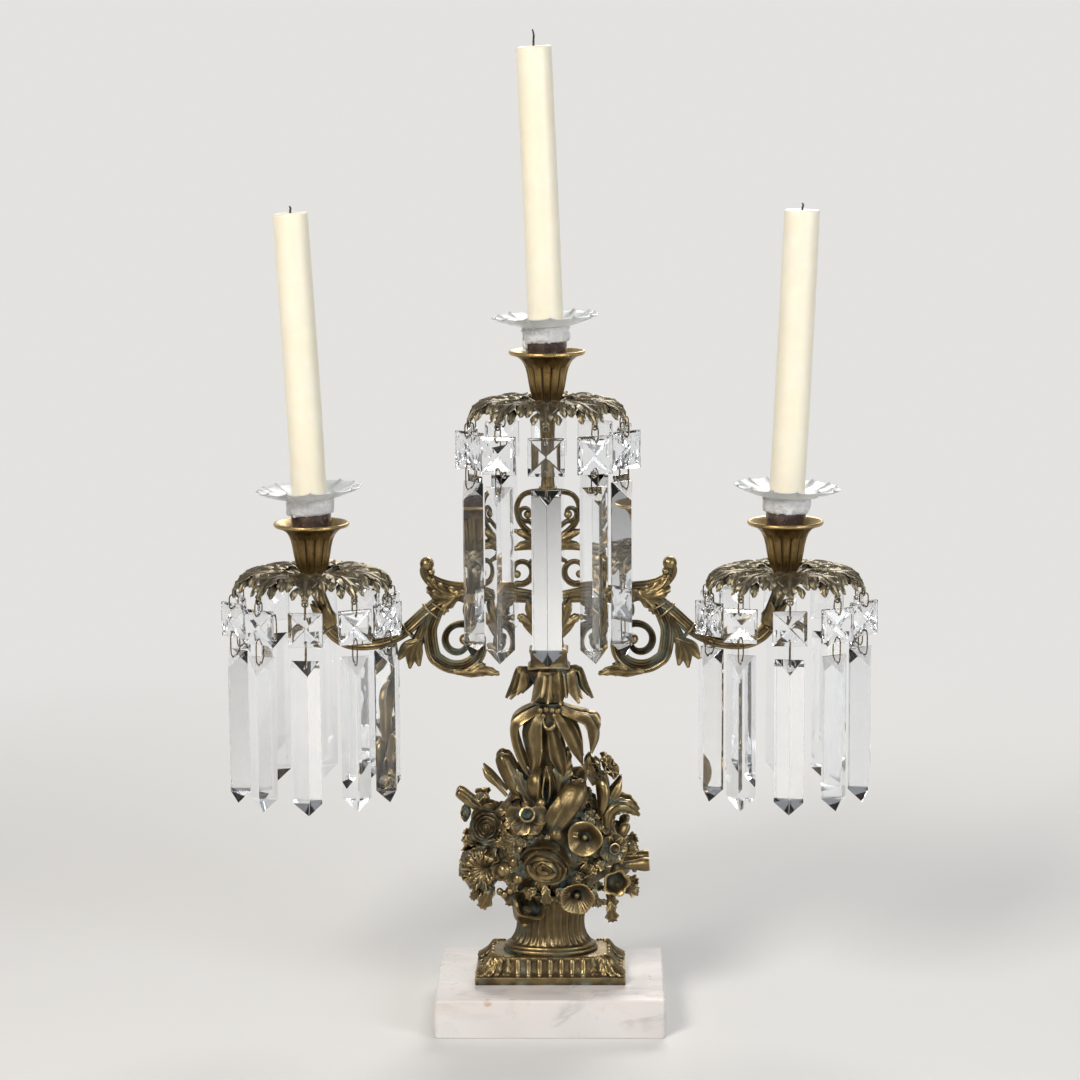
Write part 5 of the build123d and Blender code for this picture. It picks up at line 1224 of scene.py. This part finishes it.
nozzle_lacquer, fixing_wax = lacquer_finish(), fixing_wax_finish()
cup_turns = np.linspace(0, 2 * np.pi, 120, endpoint=False)
cup_rings = []
for radius, height in ((2, -19.6), (7.0, -19.6), (7.2, -19.2), (7.2, -8.8), (10.6, -8.4), (12.0, -7.0), (12.4, -5.0), (12.45, 0), (12.55, 5.4), (12.75, 6.5),
                       (12.5, 7.0), (11.7, 7.0), (11.5, 6.4), (11.45, -6.5), (2, -6.6)):
    dent = radius * (1 + 0.006 * np.sin(3 * cup_turns + 1) * (radius > 12))
    cup_rings.append(np.stack([dent * np.cos(cup_turns), dent * np.sin(cup_turns), np.full(120, height)], 1))
for light, phase in (("centre", 0.0), ("left", 1.9), ("right", 3.7)):
    piece(light + "_nozzle_cup", [placed(skin(cup_rings), askew(light))], "root", nozzle_lacquer, [light + "_nozzle"], 40)
    wax_rings = []
    for radius, height in ((11.6, 7.1), (13.4, 7.0), (14.3, 7.6), (14.9, 8.7), (15.1, 10.2), (15.0, 11.8), (15.1, 13.3), (14.8, 14.6),
                           (13.8, 15.5), (11.6, 15.4), (11.5, 11.0)):
        low = math.exp(-((height - 7.6) / 1.6) ** 2) * (radius > 12)
        pressed = np.array([noise.noise(Vector((2.6 * math.cos(t) + phase, 2.6 * math.sin(t), height * 0.3))) for t in cup_turns])
        pressed += 0.5 * np.array([noise.noise(Vector((7 * math.cos(t), 7 * math.sin(t) + phase, height * 0.8))) for t in cup_turns])
        lump = radius + 1.1 * pressed * (radius > 12) - 0.3 * (radius > 12)
        fall = height - low * (1.0 + 1.6 * np.abs(pressed))
        wax_rings.append(np.stack([lump * np.cos(cup_turns), lump * np.sin(cup_turns), np.maximum(fall, 5.0)], 1))
    crumbs = [skin(wax_rings, "join")]
    if light == "centre":
        crumbs += [ball((-12.9, -4.4, 4.4), 2.2, (1.0, 0.8, 1.4)), ball((-13.6, -4.2, 1.6), 1.5, (0.9, 0.9, 1.2))]
    piece(light + "_wax_collar", [placed(part, askew(light)) for part in crumbs], "root", fixing_wax,
          [light + "_wax_ring"], 70)

# Bobeches: pressed glass dishes with a rim of petals and a raised line between each two, frosted by wear.
# They are threaded over the candles and rest on the wax.
PETALS = 13


def frosted_finish():
    """Pressed glass gone milky in patches, with fine specks."""
    material, tree, shader, place = new_material("frosted_glass")
    frost = noise_mix(tree, place, 110, 4, 0.3, 0.7)
    colour = blend_colour(tree, frost, (0.97, 0.98, 0.98, 1), (0.90, 0.925, 0.92, 1))
    speck = noise_mix(tree, place, 900, 2, 0.68, 0.78)
    colour = blend_colour(tree, sum_of(tree, "MULTIPLY", speck, 0.25), colour, (0.66, 0.67, 0.64, 1))
    tree.links.new(colour, shader.inputs["Base Color"])
    tree.links.new(sum_of(tree, "ADD", sum_of(tree, "MULTIPLY", frost, 0.12), 0.30), shader.inputs["Roughness"])
    shader.inputs["Transmission Weight"].default_value = 0.70
    shader.inputs["IOR"].default_value = 1.48
    bump(tree, shader, noise_mix(tree, place, 500, 3, 0.3, 0.7), 0.0001, 0.25)
    return material


frosted_glass = frosted_finish()
dish_turns = np.linspace(0, 2 * np.pi, PETALS * 16, endpoint=False)
valley = np.abs(np.sin(PETALS * dish_turns / 2))


def dish_side(levels, ribbed):
    rings = []
    for radius, height, share in levels:
        reach = radius * (1 - 0.075 * share * (1 - valley) ** 1.5)
        line = 0.55 * np.exp(-((valley / 0.13) ** 2)) * ribbed * min(share + 0.4, 1) * (radius > 14)
        rise = height + share * 1.1 * (1 - valley) ** 2 + line
        rings.append(np.stack([reach * np.cos(dish_turns), reach * np.sin(dish_turns), rise], 1))
    return rings


under = [(11.65, 15.55, 0), (14.5, 15.55, 0), (17.2, 15.8, 0), (20.5, 16.6, 0.1), (25, 18.1, 0.3), (29.5, 19.6, 0.6), (33.0, 21.2, 1)]
over = [(33.5, 21.7, 1), (33.0, 22.1, 1), (29.0, 21.0, 0.6), (24.5, 19.6, 0.3), (20.0, 18.2, 0.1), (17.0, 17.3, 0), (14.2, 17.0, 0),
        (11.65, 17.0, 0)]
dish = skin(dish_side(under, 0) + dish_side(over, 1), "join")
for light in LIGHTS:
    piece(light + "_glass_bobeche", [placed(dish, askew(light))], light + "_bobeche", frosted_glass, [light + "_bobeche"], 60)

# Candles: plain moulded dinner candles of ivory wax, lit once, with a shallow pool and a burnt wick.
CANDLE_RADIUS = 11.1
CANDLE_FOOT = -6.6


def wax_finish():
    """Ivory wax: warm and a little clear inside, whiter where it has bloomed."""
    material, tree, shader, place = new_material("candle_wax")
    warm = noise_mix(tree, place, 18, 3, 0.3, 0.7)
    colour = blend_colour(tree, warm, (0.83, 0.76, 0.59, 1), (0.86, 0.80, 0.66, 1))
    bloom = noise_mix(tree, place, 90, 4, 0.5, 0.75)
    colour = blend_colour(tree, sum_of(tree, "MULTIPLY", bloom, 0.35), colour, (0.92, 0.88, 0.78, 1))
    tree.links.new(colour, shader.inputs["Base Color"])
    tree.links.new(sum_of(tree, "ADD", sum_of(tree, "MULTIPLY", bloom, 0.12), 0.36), shader.inputs["Roughness"])
    shader.inputs["Subsurface Weight"].default_value = 0.45
    shader.inputs["Subsurface Radius"].default_value = (0.010, 0.006, 0.003)
    shader.inputs["Sheen Weight"].default_value = 0.15
    bump(tree, shader, noise_mix(tree, place, 60, 3, 0.3, 0.7), 0.0003, 0.25)
    return material


def wick_finish():
    """Burnt cotton: black, dull and fibrous."""
    material, tree, shader, place = new_material("burnt_wick")
    char = noise_mix(tree, place, 900, 4, 0.35, 0.65)
    tree.links.new(blend_colour(tree, char, (0.012, 0.010, 0.009, 1), (0.09, 0.075, 0.06, 1)), shader.inputs["Base Color"])
    shader.inputs["Roughness"].default_value = 0.95
    bump(tree, shader, char, 0.0004, 0.8)
    return material


candle_wax, burnt_wick = wax_finish(), wick_finish()
candle_turns = np.linspace(0, 2 * np.pi, 96, endpoint=False)
for light, (x, seat, tilt, length, wick) in LIGHTS.items():
    top = CANDLE_FOOT + length
    stick = []
    for radius, height in ((2, CANDLE_FOOT), (10.7, CANDLE_FOOT), (11.0, CANDLE_FOOT + 0.5), (11.1, 20), (11.08, 60), (11.05, 120), (11.0, top - 8), (11.0, top - 2.4),
                           (10.8, top - 1.0), (10.3, top - 0.3), (9.4, top), (8.2, top - 0.2), (6.4, top - 0.7), (3.5, top - 1.1), (1.2, top - 0.6)):
        drift = 0.25 * math.sin(height * 0.02) * (20 < height < top)
        uneven = height + (0.5 * np.sin(candle_turns + 1.0) + 0.2 * np.sin(3 * candle_turns)) * (height > top - 3)
        stick.append(np.stack([radius * np.cos(candle_turns) + drift, radius * np.sin(candle_turns), np.minimum(uneven, top)
                               if height > top - 3 else np.full(96, float(height))], 1))
    place = askew(light)
    piece(light + "_ivory_candle", [placed(skin(stick), place)], light + "_candle", candle_wax, [light + "_candle"], 40)
    wire_path = [(0, 0, top - 2.5), (0.1, 0, top + wick * 0.3), (0.4, -0.1, top + wick * 0.65), (-0.3, 0, top + wick)]
    piece(light + "_wick", [placed(bar(wire_path, [1.7, 1.5, 1.4, 1.0], 1.3, rows=16, sides=9, flutes=3, groove=0.3), place)], light + "_candle",
          burnt_wick)

# Crystal drops: a square button cut with a pyramid on both faces, and a three-sided prism with a pointed foot,
# drilled and hung on bent brass wire. They are clear lead glass, cut and polished by hand.
BUTTON_EDGE, BUTTON_BEVEL, BEVEL_DEEP, BUTTON_DEEP = 2.6, 2.4, 4.4, 7.4
HOLE_INSET, GLASS_HOLE, WIRE = 3.4, 0.95, 0.42
PRISM_WIDE, PRISM_DEEP, PRISM_POINT, PRISM_SLOPE, PRISM_HOLE = 18.5, 9.0, 9.0, 11.0, 4.5
BUTTON_DROP, PRISM_GAP = 5.4, 8.0
DROP_SIZES = {"centre": (22.5, 23.4, 110.0), "left": (21.0, 21.3, 98.5), "right": (21.0, 21.3, 98.5)}


def crystal_finish():
    """Clear lead glass with the faintest grey, a few smears on its faces and tiny waves left by the wheel."""
    material, tree, shader, place = new_material("crystal")
    smear = noise_mix(tree, place, 90, 4, 0.45, 0.75)
    tree.links.new(blend_colour(tree, smear, (0.985, 0.99, 1.0, 1), (0.93, 0.945, 0.965, 1)), shader.inputs["Base Color"])
    tree.links.new(sum_of(tree, "MULTIPLY", smear, 0.02), shader.inputs["Roughness"])
    shader.inputs["Transmission Weight"].default_value = 1.0
    shader.inputs["IOR"].default_value = 1.56
    bump(tree, shader, noise_mix(tree, place, 45, 2, 0.3, 0.7), 0.0006, 0.012)
    return material


def wire_finish():
    """Thin brass wire, dark with age, bright where it rubs."""
    material, tree, shader, place = new_material("drop_wire")
    rub = noise_mix(tree, place, 420, 3, 0.4, 0.65)
    tree.links.new(blend_colour(tree, rub, (0.08, 0.055, 0.03, 1), (0.36, 0.26, 0.13, 1)), shader.inputs["Base Color"])
    shader.inputs["Metallic"].default_value = 1.0
    tree.links.new(sum_of(tree, "SUBTRACT", 0.55, sum_of(tree, "MULTIPLY", rub, 0.25)), shader.inputs["Roughness"])
    bump(tree, shader, rub, 0.0001, 0.4)
    return material


crystal, drop_wire = crystal_finish(), wire_finish()


def drilled(points, faces, holes, ease):
    """A cut glass solid with its edges eased, and holes drilled through it from front to back."""
    mesh = bpy.data.meshes.new("glass")
    mesh.from_pydata([tuple(p) for p in points], [], faces)
    work = bmesh.new()
    work.from_mesh(mesh)
    bmesh.ops.recalc_face_normals(work, faces=work.faces)
    bmesh.ops.bevel(work, geom=list(work.edges), offset=ease, segments=1, affect="EDGES", clamp_overlap=True)
    work.to_mesh(mesh)
    work.free()
    thing = bpy.data.objects.new("glass", mesh)
    scene.collection.objects.link(thing)
    drills = []
    for x, z in holes:
        turns = np.linspace(0, 2 * np.pi, 12, endpoint=False)
        rod = skin([np.stack([x + GLASS_HOLE * np.cos(turns), np.full(12, y), z + GLASS_HOLE * np.sin(turns)], 1) for y in (-15.0, 15.0)])
        rod_mesh = bpy.data.meshes.new("drill")
        rod_mesh.from_pydata(rod[0].tolist(), [], rod[1])
        work = bmesh.new()
        work.from_mesh(rod_mesh)
        bmesh.ops.recalc_face_normals(work, faces=work.faces)
        work.to_mesh(rod_mesh)
        work.free()
        drill = bpy.data.objects.new("drill", rod_mesh)
        scene.collection.objects.link(drill)
        cut = thing.modifiers.new("hole", "BOOLEAN")
        cut.object, cut.operation, cut.solver = drill, "DIFFERENCE", "EXACT"
        drills.append(drill)
    result = bpy.data.meshes.new_from_object(thing.evaluated_get(bpy.context.evaluated_depsgraph_get()))
    found = np.zeros(len(result.vertices) * 3)
    result.vertices.foreach_get("co", found)
    corners = [tuple(face.vertices) for face in result.polygons]
    for spent in [thing] + drills:
        bpy.data.objects.remove(spent)
    return found.reshape(-1, 3), corners


def cut_button(wide, tall):
    """The square button, hung from the pivot at the origin."""
    middle = -BUTTON_DROP - tall / 2
    points = [(0, BUTTON_DEEP / 2, middle), (0, -BUTTON_DEEP / 2, middle)]
    corners = ((1, 1), (-1, 1), (-1, -1), (1, -1))
    for y, inset in ((BEVEL_DEEP / 2, BUTTON_BEVEL), (BUTTON_EDGE / 2, 0), (-BUTTON_EDGE / 2, 0), (-BEVEL_DEEP / 2, BUTTON_BEVEL)):
        points += [(sx * (wide / 2 - inset), y, middle + sz * (tall / 2 - inset)) for sx, sz in corners]
    faces = []
    for side in range(4):
        after = (side + 1) % 4
        faces += [(0, 2 + side, 2 + after), (1, 14 + after, 14 + side)]
        for level in range(3):
            low, high = 2 + 4 * level, 6 + 4 * level
            faces.append((low + side, high + side, high + after, low + after))
    holes = [(0, -BUTTON_DROP - HOLE_INSET), (0, -BUTTON_DROP - tall + HOLE_INSET)]
    return drilled(points, faces, holes, 0.14)


def cut_prism(tall, length, ridge):
    """The long prism, with its sloped head and pointed foot; ridge is -1 where its edge faces out, 1 where its flat does."""
    top = -BUTTON_DROP - tall - PRISM_GAP
    foot = top - length
    flat, crest = -ridge * PRISM_DEEP / 3, ridge * PRISM_DEEP * 2 / 3
    slope_from = flat + ridge * 1.0
    share = (slope_from - flat) / (crest - flat)
    half_at = PRISM_WIDE / 2 * (1 - share)
    half = PRISM_WIDE / 2
    points = [(-half, flat, top), (half, flat, top), (half_at, slope_from, top), (-half_at, slope_from, top), (0, crest, top - PRISM_SLOPE),
              (-half, flat, foot + PRISM_POINT), (half, flat, foot + PRISM_POINT), (0, crest, foot + PRISM_POINT), (0, 0, foot)]
    faces = [(0, 1, 2, 3), (3, 2, 4), (0, 5, 6, 1), (1, 6, 7, 4, 2), (0, 3, 4, 7, 5), (5, 8, 6), (6, 8, 7), (7, 8, 5)]
    return drilled(points, faces, [(0, top - PRISM_HOLE)], 0.16)


def wire_link(top, bottom, near, far):
    """A loop of wire bent through two holes."""
    middle = (near + far) / 2
    half = (far - near) / 2
    ring = []
    for step in range(41):
        angle = 2 * math.pi * step / 40
        ring.append((0.12 * math.sin(3 * angle), middle + half * math.copysign(abs(math.cos(angle)) ** 0.6, math.cos(angle)),
                     (top + bottom) / 2 + (top - bottom) / 2 * math.copysign(abs(math.sin(angle)) ** 0.5, math.sin(angle))))
    parts = [bar(ring, 2 * WIRE, 2 * WIRE, up=(1, 0, 0), rows=70, sides=7)]
    return parts


ridge_wall = {True: -1, False: 1}
made = {}
for joint in frame["joints"]:
    if not joint["name"].endswith("_swing"):
        continue
    light, number = joint["child"].split("_drop_")
    step = int(number) - 1
    wide, tall, length = DROP_SIZES[light]
    ridge = ridge_wall[step % 5 != 0]
    kind = (wide, ridge)
    if kind not in made:
        top = -BUTTON_DROP - tall - PRISM_GAP
        upper, lower = -BUTTON_DROP - HOLE_INSET, -BUTTON_DROP - tall + HOLE_INSET
        shift = -ridge * 0.4
        links = wire_link(0.1, upper - 0.1, -2.9, 2.9) + wire_link(lower + 0.1, top - PRISM_HOLE - 0.1, shift - 3.0, shift + 3.0)
        made[kind] = (cut_button(wide, tall), cut_prism(tall, length, ridge), joined(links))
    side = -1 if light == "left" else 1
    turn = math.radians(side * (36 * step + 9 * math.sin(2.4 * step)))
    place = Matrix.Translation(Vector(joint["pos_m"]) / MM) @ Matrix.Rotation(turn, 4, "Z")
    azimuth = (math.degrees(turn) + 180) % 360 - 180
    to_front = -azimuth if abs(azimuth) < 120 else math.copysign(180, azimuth) - azimuth
    button_twist, prism_twist = 0.38 * to_front + 4 * math.sin(5.1 * step), 0.42 * to_front + 9 * math.sin(3.7 * step + len(light))
    button, prism = (placed(made[kind][part], place @ Matrix.Rotation(math.radians(twist), 4, "Z"))
                     for part, twist in ((0, button_twist), (1, prism_twist)))
    links = placed(made[kind][2], place)
    piece(joint["child"] + "_crystal", [button, prism], joint["child"], crystal, [joint["child"]], 5)
    piece(joint["child"] + "_wires", [links], joint["child"], drop_wire)

# Tie rod, washer and nut: black iron, under the plinth and up through the castings, out of sight but for the nut.
def iron_finish():
    """Blackened iron with brown rust in patches and a grain of fine scale."""
    material, tree, shader, place = new_material("black_iron")
    rust = noise_mix(tree, place, 140, 5, 0.48, 0.68)
    colour = blend_colour(tree, rust, (0.13, 0.125, 0.12, 1), (0.22, 0.11, 0.05, 1))
    colour = blend_colour(tree, sum_of(tree, "MULTIPLY", noise_mix(tree, place, 600, 2, 0.6, 0.8), 0.5), colour, (0.30, 0.29, 0.27, 1))
    tree.links.new(colour, shader.inputs["Base Color"])
    tree.links.new(sum_of(tree, "ADD", sum_of(tree, "MULTIPLY", rust, 0.35), 0.42), shader.inputs["Roughness"])
    tree.links.new(sum_of(tree, "SUBTRACT", 0.9, sum_of(tree, "MULTIPLY", rust, 0.7)), shader.inputs["Metallic"])
    bump(tree, shader, noise_mix(tree, place, 500, 4, 0.3, 0.7), 0.0003, 0.6)
    return material


black_iron = iron_finish()
for node in ("tie_rod", "washer", "nut"):
    body = frame["nodes"][node]
    body.data.materials.clear()
    body.data.materials.append(black_iron)
